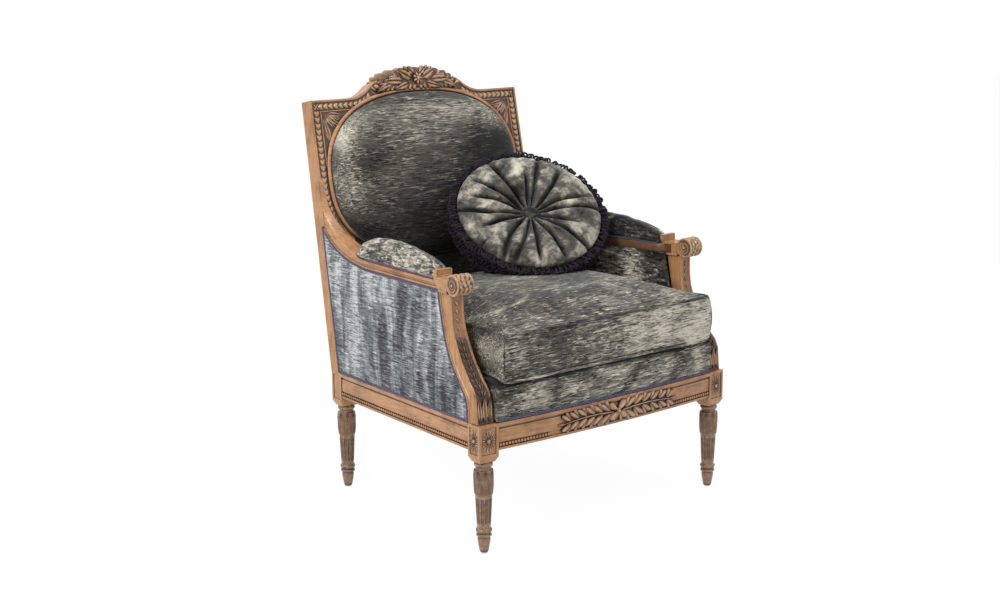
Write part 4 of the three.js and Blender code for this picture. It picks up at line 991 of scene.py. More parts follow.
class OBJECT_OT_chair_finishes(ChairOperator, bpy.types.Operator):
    """Makes the finishes of the wood, velvet, trims and metal"""
    bl_idname = "object.chair_finishes"
    bl_label = "Finishes"

    def build(self, sizes, shades, stage):
        wood = make_wood_group()
        for name, grain in (("wood_across", (14, 150, 150)), ("wood_deep", (150, 14, 150)),
                            ("wood_upright", (150, 150, 14))):
            make_wood(name, wood, shades, grain, 0.1, 0.35, 0.06)
        # The legs' wood is darker than the rest: partly their own darker brown, partly painted shade.
        make_wood("wood_turned", wood, shades, (150, 150, 14), 0.35, 0.35, 0.25, 0.44)
        make_wood("wood_carved", wood, shades, (60, 60, 60), 0.6, 0.4, 0.7, 0.8)
        velvet = make_velvet_group()
        dark = (shades.velvet_dark, shades.velvet_middle, shades.velvet_pale)
        pale = (shades.panel_dark, shades.panel_middle, shades.panel_pale)
        make_velvet("velvet_back", velvet, dark, (30, 230, 420), (5, 5, 7), 2.4, 0.9, 0.35)
        make_velvet("velvet_seat", velvet, dark, (40, 260, 330), (8, 8, 12), 2.8, 1.5, 0.3)
        make_velvet("velvet_arm", velvet, dark, (150, 40, 170), (14, 12, 16), 3.0, 1.6, 0.5)
        make_velvet("velvet_panel", velvet, pale, (60, 34, 330), (9, 24, 5), 3.0, 2.4, 0.5)
        make_velvet("velvet_round", velvet, dark, (60, 60, 80), (13, 13, 13), 1.0, 2.1, 0.3)
        trim = make_braid_group()
        make_trim("gimp_cord", trim, shades.gimp_first, shades.gimp_second, (0.02, 0.02, 0.03), 420.0, 0.0012)
        make_trim("fringe_loops", trim, shades.fringe_first, shades.fringe_second, (0.004, 0.003, 0.006),
                  190.0, 0.004)
        make_woven("jute", (0.3, 0.22, 0.12), (0.22, 0.15, 0.08), 160.0)
        make_woven("dust_cambric", (0.014, 0.014, 0.014), (0.022, 0.021, 0.02), 420.0, 0.0002)
        make_steel("bright_steel", (0.55, 0.56, 0.58))
        tree, shader, coordinates = start_material("plain_wood")
        grain = noise_node(tree, stretched(tree, coordinates, (90, 20, 90)), 1.0, 5.0, 0.6, 0.5)
        link(tree,
             colour_mix(tree, ramp_node(tree, grain, 0.35, 0.65), (0.42, 0.28, 0.15, 1),
                        (0.27, 0.165, 0.08, 1)),
             shader.inputs["Base Color"])
        shader.inputs["Roughness"].default_value = 0.7
        bump(tree, shader, grain, 0.0004)
        for node, piece in frame["nodes"].items():
            finish = "bright_steel" if "glide" in node or "screw" in node else "plain_wood"
            for slot in piece.material_slots:
                slot.material = bpy.data.materials[finish]


class OBJECT_OT_chair_legs(ChairOperator, bpy.types.Operator):
    """Turns and carves the four legs and shapes their corner blocks and the stiles above the rear ones"""
    bl_idname = "object.chair_legs"
    bl_label = "Legs and Stiles"

    def build(self, sizes, shades, stage):
        for side, matrix in SIDES:
            for place, node, label in ((0.0, "front_leg", "front"), (SIDE_RUN, "rear_post", "rear")):
                bm = moved(carved_leg(sizes.flute_depth / MM), matrix @ Matrix.Translation((0, place, 0)))
                finish_piece(bm, f"{label}_leg_turning_{side}", "wood_turned")
                bm = copied_node(f"{node}_{side}")
                cut_away(bm, (0, 0, (LEG_TOP + 0.05) * MM), (0, 0, -1))
                ease_edges(bm, sizes.edge_ease)
                name = f"front_corner_block_{side}" if place == 0.0 else f"rear_post_stile_{side}"
                weighted(finish_piece(bm, name, "wood_upright", nodes=[f"{node}_{side}"]))


class OBJECT_OT_chair_rails(ChairOperator, bpy.types.Operator):
    """Eases the edges of the seat rails, the crest rail and the lower rail of the back"""
    bl_idname = "object.chair_rails"
    bl_label = "Rails"

    def build(self, sizes, shades, stage):
        rails = (
            ("front_seat_rail", "wood_across"), ("rear_seat_rail", "wood_across"),
            ("side_seat_rail_left", "wood_deep"),
            ("side_seat_rail_right", "wood_deep"), ("back_lower_rail", "wood_across"),
            ("crest_rail", "wood_across"),
        )
        for node, finish in rails:
            bm = copied_node(node)
            if node == "crest_rail":
                inverse = BACK.inverted()
                tone = bm.verts.layers.float["tone"]
                for vert in bm.verts:
                    local = inverse @ vert.co
                    # The raised ground under the crest carving is darkened: dark staining and painted shade.
                    if local.y < -5:
                        vert.co = BACK @ Vector((local.x * 0.93, local.y + 4, local.z - 4))
                        vert[tone] = 0.85
            ease_edges(bm, sizes.edge_ease * 0.8)
            weighted(finish_piece(bm, f"{node}_moulded", finish, nodes=[node]))


# Across the arm rail, from the underside to the top: how far from an edge, and how far out
ARM_OUTER = (
    ("low", 0.0, 22.5), ("low", 0.6, 25.2), ("low", 2.2, 26.0), ("low", 4.4, 25.8), ("low", 5.6, 24.6),
    ("low", 6.0, 23.2), ("low", 7.2, 22.9), ("top", 11.5, 23.0), ("top", 10.8, 24.6), ("top", 9.4, 25.9),
    ("top", 6.5, 26.2), ("top", 3.6, 25.4), ("top", 1.5, 23.6), ("top", 0.3, 21.0), ("top", 0.0, 18.5),
)
ARM_INNER = (
    ("top", 0.0, -19.5), ("top", 0.6, -22.0), ("top", 2.6, -23.8), ("low", 3.0, -23.8), ("low", 0.8, -23.0),
    ("low", 0.0, -21.0),
)


class OBJECT_OT_chair_arms(ChairOperator, bpy.types.Operator):
    """Moulds the arm rails, their collars and scrolls, and the arm supports"""
    bl_idname = "object.chair_arms"
    bl_label = "Arms"

    def rail(self):
        """Arm rail with two parallel mouldings on its outer side, in the plane of the side."""
        start = COLLAR_REAR - COLLAR_LENGTH / 2
        tail = along_side(back_plane_y(ARM_TOP + SWEEP_RISE), 0) + 20
        tops = [Vector((start, ARM_TOP)), *TOP_SWEEP, Vector((tail, ARM_TOP + SWEEP_RISE))]
        lows = [Vector((start, ARM_UNDERSIDE)), *LOW_SWEEP, Vector((tail, ARM_UNDERSIDE + LOW_SWEEP_RISE))]
        profile = ARM_OUTER + ARM_INNER

        def rule(p, q):
            t = (p + 1) / 2
            if t < 0.5:
                top, low = tops[0].lerp(tops[1], 2 * t), lows[0].lerp(lows[1], 2 * t)
            else:
                share = 2 * t - 1
                top, low = point_along(tops[1:], share), point_along(lows[1:], share)
            index = round((q + 1) / 2 * len(profile)) % len(profile)
            edge, off, out = profile[index]
            height = (top - low).length
            share = off / height if edge == "low" else 1 - off / height
            place = low.lerp(top, clamp(share))
            narrow = clamp((place.x - SWEEP_START) / 200) ** 2
            if out < 0:
                out = mix(max(out, COLLAR_INSIDE), out + narrow * 32,
                          smooth_step(STOP_FRONT, STOP_REAR, place.x))
            # The inner face in front of the sweep is darkened: painted shade.
            toning = 0.75 if profile[index][2] < 0 and place.x < SWEEP_START else 0.0
            return (out, place.x, place.y, toning)

        return tube_of_cells(60, len(profile), rule)

    def collar(self):
        """Square block behind the scroll and the raised stop of the arm pad, its front and top sunk."""
        low, high, stop = ARM_UNDERSIDE - 5, ARM_TOP + 5, ARM_TOP + STOP_HEIGHT
        front = COLLAR_REAR - COLLAR_LENGTH
        profile = (
            (COLLAR_REAR, low), (COLLAR_REAR, ARM_UNDERSIDE), (STOP_REAR, ARM_TOP), (STOP_REAR, stop),
            (STOP_FRONT, stop), (STOP_FRONT, high), (front, high), (front, low),
        )
        bm = plate([Vector((COLLAR_INSIDE, *place)) for place in profile],
                   (COLLAR_OUTSIDE - COLLAR_INSIDE, 0, 0))
        for middle, width in (((STOP_FRONT, (high + stop) / 2), 3.0),
                              (((STOP_FRONT + front) / 2, high), 6.0)):
            middle = Vector((SCROLL_MIDDLE, *middle))
            face = min(bm.faces, key=lambda item: (item.calc_center_median() - middle).length)
            bmesh.ops.inset_individual(bm, faces=[face], thickness=width, depth=0)
            bmesh.ops.inset_individual(bm, faces=[face], thickness=0.9, depth=-1.4)
        return ease_edges(bm, 0.9, angle=40)

    def scroll(self):
        """Drum of the arm's scroll, ringed at its ends, with a leaf carved over its front."""
        radius, half = SCROLL_RADIUS, SCROLL_HALF
        rows = [
            (0.0, 0.93), (0.4, 0.93), (0.78, 0.93), (0.81, 0.95), (0.84, 0.99), (0.9, 1.0), (0.96, 0.99),
            (1.0, 0.95), (1.0, 0.88), (0.985, 0.82), (0.94, 0.79),
        ]
        rows = [(radius * r, half * z) for r, z in rows]
        middle = [(radius * 0.93, half * mix(0.76, -0.76, i / 30)) for i in range(31)]
        line = rows + middle + [(r, -z) for r, z in reversed(rows)]

        def carve(x, y, z):
            r = math.hypot(x, y)
            along = z / half
            # The tone darkens the end faces inside the rings, and the low parts of the leaf with dark
            # staining and painted shade.
            if r < radius * 0.92 or abs(along) > 0.78:
                return (x, y, z, 0.6 if r < radius * 0.8 else 0.0)
            angle = math.atan2(y, x) - math.pi
            lobes = abs(math.cos(math.pi * (1.5 * along / 0.78 + 0.3 * math.sin(angle * 3)))) ** 0.7
            veins = math.cos(angle * 6 + 4 * abs(along)) ** 2
            level = 0.65 * lobes + 0.35 * veins
            change = 5.0 * level - 2.6
            return (x * (1 + change / r), y * (1 + change / r), z, 0.95 * smooth_step(0.62, 0.2, level))

        turn = (
            Matrix.Translation((SCROLL_MIDDLE, SCROLL_CENTRE, SCROLL_HEIGHT))
            @ Matrix.Rotation(math.pi / 2, 4, "Y")
        )
        turn = turn @ Matrix.Rotation(math.pi / 2, 4, "Z")
        return lathe(line, 96, carve, turn)

    def volutes(self, bm):
        """Spiral moulding and bead on both faces of the scroll."""
        for sign in (1, -1):
            middle = Vector((SCROLL_MIDDLE + sign * SCROLL_HALF * 0.95, SCROLL_CENTRE, SCROLL_HEIGHT))
            path = []
            for i in range(60):
                angle = 2.2 + i / 59 * TAU * 1.8
                r = mix(17.8, 5.6, (i / 59) ** 0.85)
                path.append(middle + Vector((0, -r * math.cos(angle), r * math.sin(angle))))
            run(bm, path, round_section(2.9, 3.2, 6), Vector((sign, 0, 0)),
                sizes=[mix(1.15, 0.7, i / 59) for i in range(60)])
            ball(bm, Matrix.Translation(middle), 4.0, cells=(14, 9))
        return bm

    def neck(self):
        """Body between the collar and the scroll."""
        def rule(p, q, r):
            t = (q + 1) / 2
            y = mix(SCROLL_CENTRE, COLLAR_REAR - COLLAR_LENGTH / 2, t)
            low = mix(SCROLL_HEIGHT - 21, ARM_UNDERSIDE, smooth_step(0.1, 0.75, t))
            high = mix(ARM_TOP + 8, ARM_TOP + 4, smooth_step(0.25, 0.85, t))
            return (mix(COLLAR_INSIDE + 1.5, SIDE_FACE - 0.5, (p + 1) / 2), y, mix(low, high, (r + 1) / 2))
        return ease_edges(block_of_cells((4, 10, 1), rule), 2.0, angle=50)

    def support(self):
        """Raked arm support: double bead at its outer rear edge, sunk channel down its front."""

        def section(depth, width):
            out = SIDE_FACE
            inner = SIDE_FACE - width
            channel = 1.8
            return (
                (depth, out - 3), (depth - 0.8, out - 0.8), (depth - 3, out), (depth - 5.4, out - 0.8),
                (depth - 6.2, out - 2.4), (depth - 7.2, out - 2.4), (depth - 8, out - 0.8), (depth - 10, out),
                (depth - 12.2, out - 0.8), (depth - 13, out - 2.2), (depth - 14.5, out - 2.6),
                (4, out - 2.6), (3, out - 1.2), (1.6, out - 0.6), (0.3, out - 2), (0, out - 5.5),
                (channel, out - 6.5),
                (channel + 0.4, out - 8), (channel + 0.4, inner + 8), (channel, inner + 6.5),
                (0, inner + 5.5),
                (0.3, inner + 2), (1.6, inner + 0.6), (4, inner), (depth - 4, inner), (depth - 1, inner + 1),
                (depth, inner + 4),
            )

        count = len(section(30, 40))

        def rule(p, q):
            t = (p + 1) / 2
            front, rear = point_along(FRONT_LINE, t), point_along(REAR_LINE, t)
            across = rear - front
            index = round((q + 1) / 2 * count) % count
            off, out = section(across.length, support_width(front.y))[index]
            place = front + across.normalized() * off
            # The sunk channel darkens between heights 330 and 500: dark staining and painted shade.
            sunk = 15 < index < 20
            toning = (
                mix(0.3, 0.95, smooth_step(330, 360, place.y) * smooth_step(500, 450, place.y)) if sunk
                else 0.0
            )
            return (out, place.x, place.y, toning)

        return tube_of_cells(48, count, rule)

    def build(self, sizes, shades, stage):
        for side, matrix in SIDES:
            rail = moved(self.rail(), matrix)
            cut_away(rail, BACK @ Vector((0, -0.4, 0)), BACK_NORMAL)
            finish_piece(rail, f"arm_rail_{side}", "wood_deep", nodes=[f"arm_{side}"], sharp=50)
            weighted(finish_piece(moved(self.collar(), matrix), f"arm_collar_{side}", "wood_deep"))
            finish_piece(moved(self.neck(), matrix), f"arm_neck_{side}", "wood_deep")
            scroll = self.volutes(self.scroll())
            finish_carving(moved(scroll, matrix), f"arm_scroll_{side}")
            finish_piece(
                moved(self.support(), matrix), f"arm_support_moulded_{side}", "wood_upright",
                nodes=[f"arm_support_{side}"], sharp=50,
            )


# Carving ------------------------------------------------------------------

class OBJECT_OT_chair_carving(ChairOperator, bpy.types.Operator):
    """Carves the crest, the coins and corners of the back, the rails, the blocks and the arm supports"""
    bl_idname = "object.chair_carving"
    bl_label = "Carving"

    def on_back(self, x, w, turn=0.0, proud=0.0, mirror=False):
        """Frame on the front plane of the back, its X turned from the chair's X, its Z forward."""
        flip = MIRROR if mirror else Matrix()
        face = Matrix.Translation((x, -proud, w)) @ FACE_FORWARD @ Matrix.Rotation(turn, 4, "Z")
        return BACK @ flip @ face

    def crest(self):
        """Spray of leaves over the crest: two low humps either side of a flower."""
        bm = new_form()
        proud = 8.5
        for mirror in (False, True):
            leaves = (
                (16, 704, 0.45, 52, 30, 8.0, 4, 0.05), (44, 699, 0.12, 66, 27, 7.5, 5, -0.1),
                (26, 692, -0.2, 50, 22, 7.0, 4, -0.1),
                (78, 696, -0.22, 50, 20, 6.5, 4, -0.08), (8, 714, 0.75, 30, 20, 7.5, 3, 0.0),
                (58, 708, 0.12, 40, 20, 7.0, 4, -0.2),
                (88, 701, -0.05, 38, 18, 6.5, 3, -0.2), (96, 690, -0.3, 36, 16, 6.0, 3, -0.1),
            )
            for x, w, turn, length, width, height, lobes, bend in leaves:
                acanthus(bm, self.on_back(x, w, turn, proud, mirror), length, width, height, lobes, 0.3, bend)
            for i in range(9):
                x = 8 + i * 13.2
                w = 691 - 3.5 * (i / 8) ** 2
                lobe(bm, self.on_back(x, w, -1.35 + 0.05 * i, proud - 1 - 0.3 * i, mirror), 16, 12, 6, 0.2,
                     0.35, 0.1, (10, 7), 0.2)
            borders = ((14, 13, 722, 682, 1.3, 0.5, proud - 1, 20), (36, 11, 718, 678, 1.2, 0.7, 1.0, 21))
            for start, pitch, high, low, first, last, depth, length in borders:
                for i in range(9):
                    x = start + i * pitch
                    w = mix(high, low, smooth_step(30, 134, x))
                    matrix = self.on_back(x, w, mix(first, last, i / 8), depth, mirror)
                    lobe(bm, matrix, length, 15, 6, 0.1, 0.4, -0.1, (10, 7), 0.3)
        for i in range(7):
            angle = i / 7 * TAU
            lobe(bm, self.on_back(0, 704, angle, proud + 5), 15, 9, 5.5, -0.25, 0.2, 0.0, (10, 7), 0.5)
        ball(bm, self.on_back(0, 704, 0, proud + 7), 5.5, 0.8, (14, 9))
        inverse = BACK.inverted()
        for vert in bm.verts:
            local = inverse @ vert.co
            x = abs(local.x)
            limit = (
                mix(735, 694, smooth_step(30, 134, x)) - 5 * math.exp(-(x / 12) ** 2)
                + 1.6 * math.sin(x * 0.4)
            )
            if local.z > limit:
                vert.co = BACK @ Vector((local.x, local.y, limit))
        finish_carving(bm, "crest_carving")

    def band_line(self):
        """Middle of the carved band: from the crest round the shoulder and down beside the oval."""
        edge = back_edge_line(16.5, 445)
        shoulder = [p for p in reversed(edge) if p.x > 138]
        low = []
        for i in range(14):
            angle = mix(-0.1, -0.92, i / 13)
            low.append(oval_point(mix(21, 31, i / 13), angle))
        return shoulder, low

    def band(self, sizes):
        pitch = sizes.coin_pitch / MM
        for side, mirror in BACK_SIDES:
            bm = new_form()
            flip = MIRROR if mirror else Matrix()
            shoulder, low = self.band_line()
            corner = max(range(len(shoulder)), key=lambda i: shoulder[i].x + shoulder[i].y)
            runs = (shoulder[:corner + 1], [shoulder[corner], *shoulder[corner + 1:], *low])
            for line in runs:
                # Dark strip under the coins: dark staining and painted shade between them.
                run(bm, standing(line, -0.3), flat_section(18.5, 1.2), FORWARD, matrix=BACK @ flip, toning=1.0)
                for place, along in evenly(line, pitch)[1:-1]:
                    if (place - shoulder[corner]).length < 14:
                        continue
                    angle = math.atan2(along.y, along.x)
                    matrix = (
                        self.on_back(place.x, place.y, angle, 0.2, mirror)
                        @ Matrix.Translation((-pitch * 0.2, 0, 0))
                    )
                    lobe(bm, matrix, pitch * 1.02, 17, 4.4, -0.3, 0.3, 0.0, (10, 6), 0.2, 0.48)
            x, w = shoulder[corner]
            for i in range(4):
                lobe(bm, self.on_back(x, w, math.pi / 4 + i * math.pi / 2, 0.6, mirror), 9.5, 8, 2.8, -0.1,
                     0.3, 0, (8, 6), 0.5)
            ball(bm, self.on_back(x, w, 0, 1.2, mirror), 2.6, 0.9)
            daisy = self.on_back(290, 352, 0, 0.4, mirror)
            for i in range(8):
                lobe(bm, daisy @ Matrix.Rotation(i * TAU / 8, 4, "Z"), 10.5, 6.5, 3.2, -0.3, 0.3, 0.0,
                     (8, 6), 0.6)
            ball(bm, daisy @ Matrix.Translation((0, 0, 1.8)), 3.6, 0.9, (10, 6))
            finish_carving(bm, f"back_coin_band_{side}")

    def fillets(self):
        """Raised lines that frame the carved band and the corners, and the round moulding of the oval."""
        for side, mirror in BACK_SIDES:
            flip = MIRROR if mirror else Matrix()
            bm = new_form()
            inner = [Vector((206, 638)), Vector((299, 638)), Vector((301.5, 505))]
            arch = [p for p in back_edge_line(29, 600) if 128 < p.x < 214][::-1]
            edge = [p for p in back_edge_line(3.1, 480) if p.x > 120]
            for line, depth, size in ((inner, -0.8, (4.2, 4.6)), (arch, -0.8, (4.2, 4.6)),
                                      (edge, -2.2, (5.2, 3.6))):
                run(bm, standing(line, depth), round_section(*size), FORWARD, matrix=BACK @ flip)
            finish_piece(bm, f"back_fillets_{side}", "wood_across")
        bm = new_form()
        ring = standing(oval_line(5.6, 120), -2.6)
        run(bm, ring, round_section(11.4, 9.5, 12), FORWARD, closed=True, matrix=BACK)
        piece = finish_piece(bm, "back_oval_moulding", "wood_across")
        # Painted shadow: the lower part of the oval moulding takes the full dark tone, for the shade between
        # the back pad and the seat.
        paint(piece, BACK, lambda x, y, w: 1.3 * smooth_step(350, 310, w))

    def corners(self):
        """Leaf carving in the three-cornered fields between the oval and the shoulders."""
        field = [Vector((206, 638)), Vector((299, 638)), Vector((301, 520))]
        field += [oval_point(10, angle / 20) for angle in range(5, 20) if oval_point(10, angle / 20).y < 638]
        outline = standing([place for place in field if place.x > 200], 0.3)
        for side, mirror in BACK_SIDES:
            flip = MIRROR if mirror else Matrix()
            # Dark plate under the corner leaves: dark staining and painted shade in the sunk field.
            bm = moved(plate(outline, (0, -1.2, 0), 1.0), BACK @ flip)
            leaves = (
                (291, 630, -2.55, 58, 22, 5.5, 4), (293, 626, -1.78, 74, 19, 5.5, 5),
                (286, 632, -3.0, 62, 17, 5.5, 4),
                (288, 628, -2.2, 44, 18, 6.4, 3), (268, 628, -2.6, 30, 14, 5.0, 3),
                (292, 590, -2.0, 34, 13, 5.0, 3),
            )
            for x, w, turn, length, width, height, lobes in leaves:
                acanthus(bm, self.on_back(x, w, turn, -0.6, mirror), length, width, height, lobes, 0.2, 0.0,
                         (16, 10))
            finish_carving(bm, f"back_corner_leaves_{side}")

    def rosettes(self):
        """Sunk rosettes on the front and outer faces of the front blocks."""
        for side, matrix in SIDES:
            bm = new_form()
            height = 259.0
            faces = (
                (Matrix.Translation((0, -BLOCK_HALF_DEPTH + 1.6, height)) @ FACE_FORWARD, 18.0, 28.5),
                (Matrix.Translation((SIDE_FACE - 1.6, 0, height)) @ Matrix.Rotation(math.pi / 2, 4, "Z")
                 @ FACE_FORWARD, 14.2, 28.5),
            )
            for face, half_width, half_height in faces:
                for i in range(16):
                    angle = (i + 0.5) / 16 * TAU
                    reach = min(half_width / max(abs(math.cos(angle)), 1e-6),
                                half_height / max(abs(math.sin(angle)), 1e-6))
                    reach = min(reach, half_height - 2)
                    petal = face @ Matrix.Rotation(angle, 4, "Z") @ Matrix.Translation((4.6, 0, -0.3))
                    lobe(bm, petal, reach - 4.8, 5.6, 2.5, -0.5, 0.25, 0.0, (8, 6), 0.7)
                ball(bm, face @ Matrix.Translation((0, 0, 0.6)), 5.2, 0.6, (14, 8))
                ball(bm, face @ Matrix.Translation((0, 0, 3.0)), 2.2, 0.8, (10, 6))
            finish_carving(moved(bm, matrix), f"block_rosettes_{side}", merge=1e-10)

    def beads(self, sizes):
        """Rows of beads along the lower groove of the front and side rails."""
        pitch, radius = sizes.bead_pitch / MM, sizes.bead_radius / MM
        z = RAIL_BOTTOM + 0.185 * (RAIL_TOP - RAIL_BOTTOM)
        bm = new_form()
        for sign in (1, -1):
            reach = [mix(196, 330, i / 20) for i in range(21)]
            for place, _ in evenly([Vector((sign * x, front_face_y(x) + 1.4)) for x in reach], pitch):
                ball(bm, CHAIR @ Matrix.Translation((place.x, place.y, z)), radius, 1.0, (7, 5))
        finish_piece(bm, "front_rail_beads", "wood_across", merge=1e-7)
        for side, matrix in SIDES:
            bm = new_form()
            line = [Vector((SIDE_FACE - 2.4, y))
                    for y in (BLOCK_HALF_DEPTH + 5, SIDE_RUN - BLOCK_HALF_DEPTH - 5)]
            for place, _ in evenly(line, pitch):
                ball(bm, matrix @ Matrix.Translation((place.x, place.y, z)), radius, 1.0, (7, 5))
            finish_piece(bm, f"side_rail_beads_{side}", "wood_deep", merge=1e-7)

    def laurel(self):
        """Two laurel branches and a ribbon knot on the front rail."""
        bm = new_form()

        def on_rail(x, z, turn, proud=0.0):
            y = front_face_y(x) + 1.0 - proud
            slope = math.atan2(front_face_y(x + 5) - front_face_y(x - 5), 10)
            place = Matrix.Translation((x, y, z)) @ Matrix.Rotation(slope, 4, "Z")
            return CHAIR @ place @ FACE_FORWARD @ Matrix.Rotation(turn, 4, "Z")

        for sign, reach in ((1, 182.0), (-1, 160.0)):
            flip = 0.0 if sign > 0 else math.pi
            stem = []
            for i in range(25):
                t = i / 24
                x = 10 + sign * mix(14, reach, t)
                stem.append(Vector((x, front_face_y(x) - 2.0, 264 + 5 * math.sin(3.1 * t) - 3 * t)))
            run(bm, stem, round_section(4.6, 4.6, 6), FORWARD, matrix=CHAIR,
                sizes=[mix(1.2, 0.6, i / 24) for i in range(25)])
            # Dark strip under the laurel: dark staining and painted shade between the leaves.
            ground = [Vector((p.x, front_face_y(p.x) + 0.8, p.z)) for p in stem]
            run(bm, ground, flat_section(36, 1.0), FORWARD, matrix=CHAIR, toning=0.95,
                sizes=[mix(1.0, 0.6, i / 24) for i in range(25)])
            rows = 6
            for i in range(rows):
                t = (i + 0.35) / rows
                place = point_along(stem, t)
                for lean, grow, off in ((0.52, 1.0, 3.2), (-0.52, 1.0, -3.2), (0.98, 0.74, 5.5),
                                        (-0.98, 0.74, -5.5)):
                    length = mix(40, 29, t) * grow
                    turn = flip + sign * lean
                    lobe(bm, on_rail(place.x, place.z + off, turn, 1.0 + (1.6 if abs(lean) < 0.9 else 0.0)),
                         length, mix(22, 17, t), 6.2, 0.3, 0.55, 0.0, (12, 9), 0.5)
                for off in (8.5, -8.0):
                    ball(bm, on_rail(place.x + sign * 8, place.z + off, 0, 2.6), 2.7, 1.0, (8, 6))
            tip = stem[-1]
            lobe(bm, on_rail(tip.x - sign * 6, tip.z, flip, 1.5), 26, 11, 4.5, 0.45, 0.6, 0.0, (12, 9), 0.55)
        for turn in (0.7, -0.55, math.pi - 0.6, math.pi + 0.6):
            lobe(bm, on_rail(10, 266, turn, 3.0), 32, 21, 8.5, -0.35, 0.5, 0.0, (14, 10), 0.65)
        for turn in (-1.0, -2.1):
            tail = [Vector((t * 24, 2.2 * math.sin(5 * t), 3.2 - 2 * t)) for t in [i / 12 for i in range(13)]]
            run(bm, tail, flat_section(6.8, 2), UPWARD, matrix=on_rail(10, 264, turn, 2.6))
        ball(bm, on_rail(10, 266, 0, 6.2), 6.2, 0.8, (14, 9))
        finish_carving(bm, "front_rail_laurel")

    def supports(self):
        """Husks, leaf run and foot acanthus down the front of the arm supports."""
        for side, matrix in SIDES:
            bm = new_form()

            def on_front(t, across=0.0, proud=0.0, turn=0.0):
                here, ahead = point_along(FRONT_LINE, t), point_along(FRONT_LINE, min(1, t + 0.02))
                behind = point_along(FRONT_LINE, max(0, t - 0.02))
                along = (ahead - behind).normalized()
                x = SIDE_FACE - support_width(here.y) / 2 + across
                outward = Vector((0, -along.y, along.x))
                place = Vector((x, here.x, here.y)) + outward * (proud - 2.0)
                return (
                    matrix @ frame_at(place, -Vector((0, along.x, along.y)), outward)
                    @ Matrix.Rotation(turn, 4, "Z")
                )

            for i in range(5):
                t = mix(0.955, 0.70, i / 4)
                lobe(bm, on_front(t, 0, 0.2), mix(13.5, 10, i / 4), mix(8.5, 5.5, i / 4), 3.4, 0.3, 0.45, 0,
                     (10, 7), 0.35)
                for turn in (0.55, -0.55):
                    lobe(bm, on_front(t, 0, 0.0, turn), 9.5 - 0.7 * i, 4.2, 2.6, 0.3, 0.4, 0, (8, 6), 0.4)
            # The leaf run lies on a dark ground: dark staining and painted shade.
            for i in range(9):
                t = mix(0.2, 0.62, i / 8)
                for turn in (math.pi - 0.42, math.pi + 0.42):
                    across = 4.0 if turn < math.pi else -4.0
                    lobe(bm, on_front(t, across, 0.2, turn), 17, 7, 3.6, 0.4, 0.5, 0, (10, 7), 0.5, 0.0, 0.82)
                lobe(bm, on_front(t, 0, 1.2, math.pi), 14, 4.5, 3.0, 0.4, 0.5, 0, (10, 7), 0.5, 0.0, 0.45)
            spread = ((0, 1.8, 60, 20), (12, 1.0, 56, 17), (-12, 1.0, 56, 17))
            for across, proud, length, width in spread:
                acanthus(bm, on_front(0.015, across, proud, math.pi - across * 0.004), length, width, 5.6, 4,
                         0.8, 0.0, (18, 14))
            finish_carving(bm, f"support_carving_{side}")

    def build(self, sizes, shades, stage):
        self.crest()
        self.band(sizes)
        self.fillets()
        self.corners()
        self.rosettes()
        self.beads(sizes)
        self.laurel()
        self.supports()


# Upholstery ---------------------------------------------------------------

def undulate(point, scale, size, seed=0.0):
    """Soft unevenness at a point: the scale says how close its waves are, the size how high."""
    return noise.noise(Vector((point[0] * scale + seed, point[1] * scale, point[2] * scale))) * size


SEAM_INSET = 3.0
CUSHION_FRONT = -42.0
CUSHION_DEPTH = PAD_FRONT_Y + 38
CUSHION_CROWN = 40.0
SWELL_VOXEL = 0.0065
SWELL_PRESSURE = 3.0
SWELL_FRAMES = 16


def crown_rise(p, q):
    """Rise of the seat cushion's top over its seam, at shares of its half sizes."""
    return CUSHION_CROWN * (crowned(p, 5) * crowned(q, 2.8)) ** 0.65


def cushion_shares(x, y):
    """Place in the plan of the seat cushion, each share from -1 to 1."""
    q = clamp((y - CUSHION_FRONT) / CUSHION_DEPTH * 2 - 1, -1, 1)
    return clamp(x / side_half_width(CUSHION_OUT, y), -1, 1), q


def cushion_rule(shrink):
    """Rule of the seat cushion's form: crowned, its sides drawn in between its corners."""
    rear = PAD_FRONT_Y - 4

    def rule(p, q, r):
        seam = 6 * r * r
        y_front, y_rear = CUSHION_FRONT + shrink, rear - shrink
        drawn_p = seam + 4 * crowned(p)
        y = mix(y_front + drawn_p, y_rear - seam, (q + 1) / 2)
        flare = 8 * smooth_step(12, -30, y)
        x = p * (side_half_width(CUSHION_OUT - shrink, y) + flare - seam - 4 * crowned(q))
        corner = 3 * (abs(p * q)) ** 14
        x -= math.copysign(corner, p)
        y -= math.copysign(corner, q)
        low, high = PLATFORM_TOP + 0.6 + shrink, SEAM_TOP - shrink
        hang = 8 * smooth_step(-0.93, -1, q)
        z = mix(low - hang, high, (r + 1) / 2)
        if r > 0.999:
            z += crown_rise(p, q)
        return Vector((x, y, z))
    return rule


def seat_top(x, y):
    """Height of the seat cushion's crown over a point of the plan."""
    return SEAM_TOP + crown_rise(*cushion_shares(x, y))


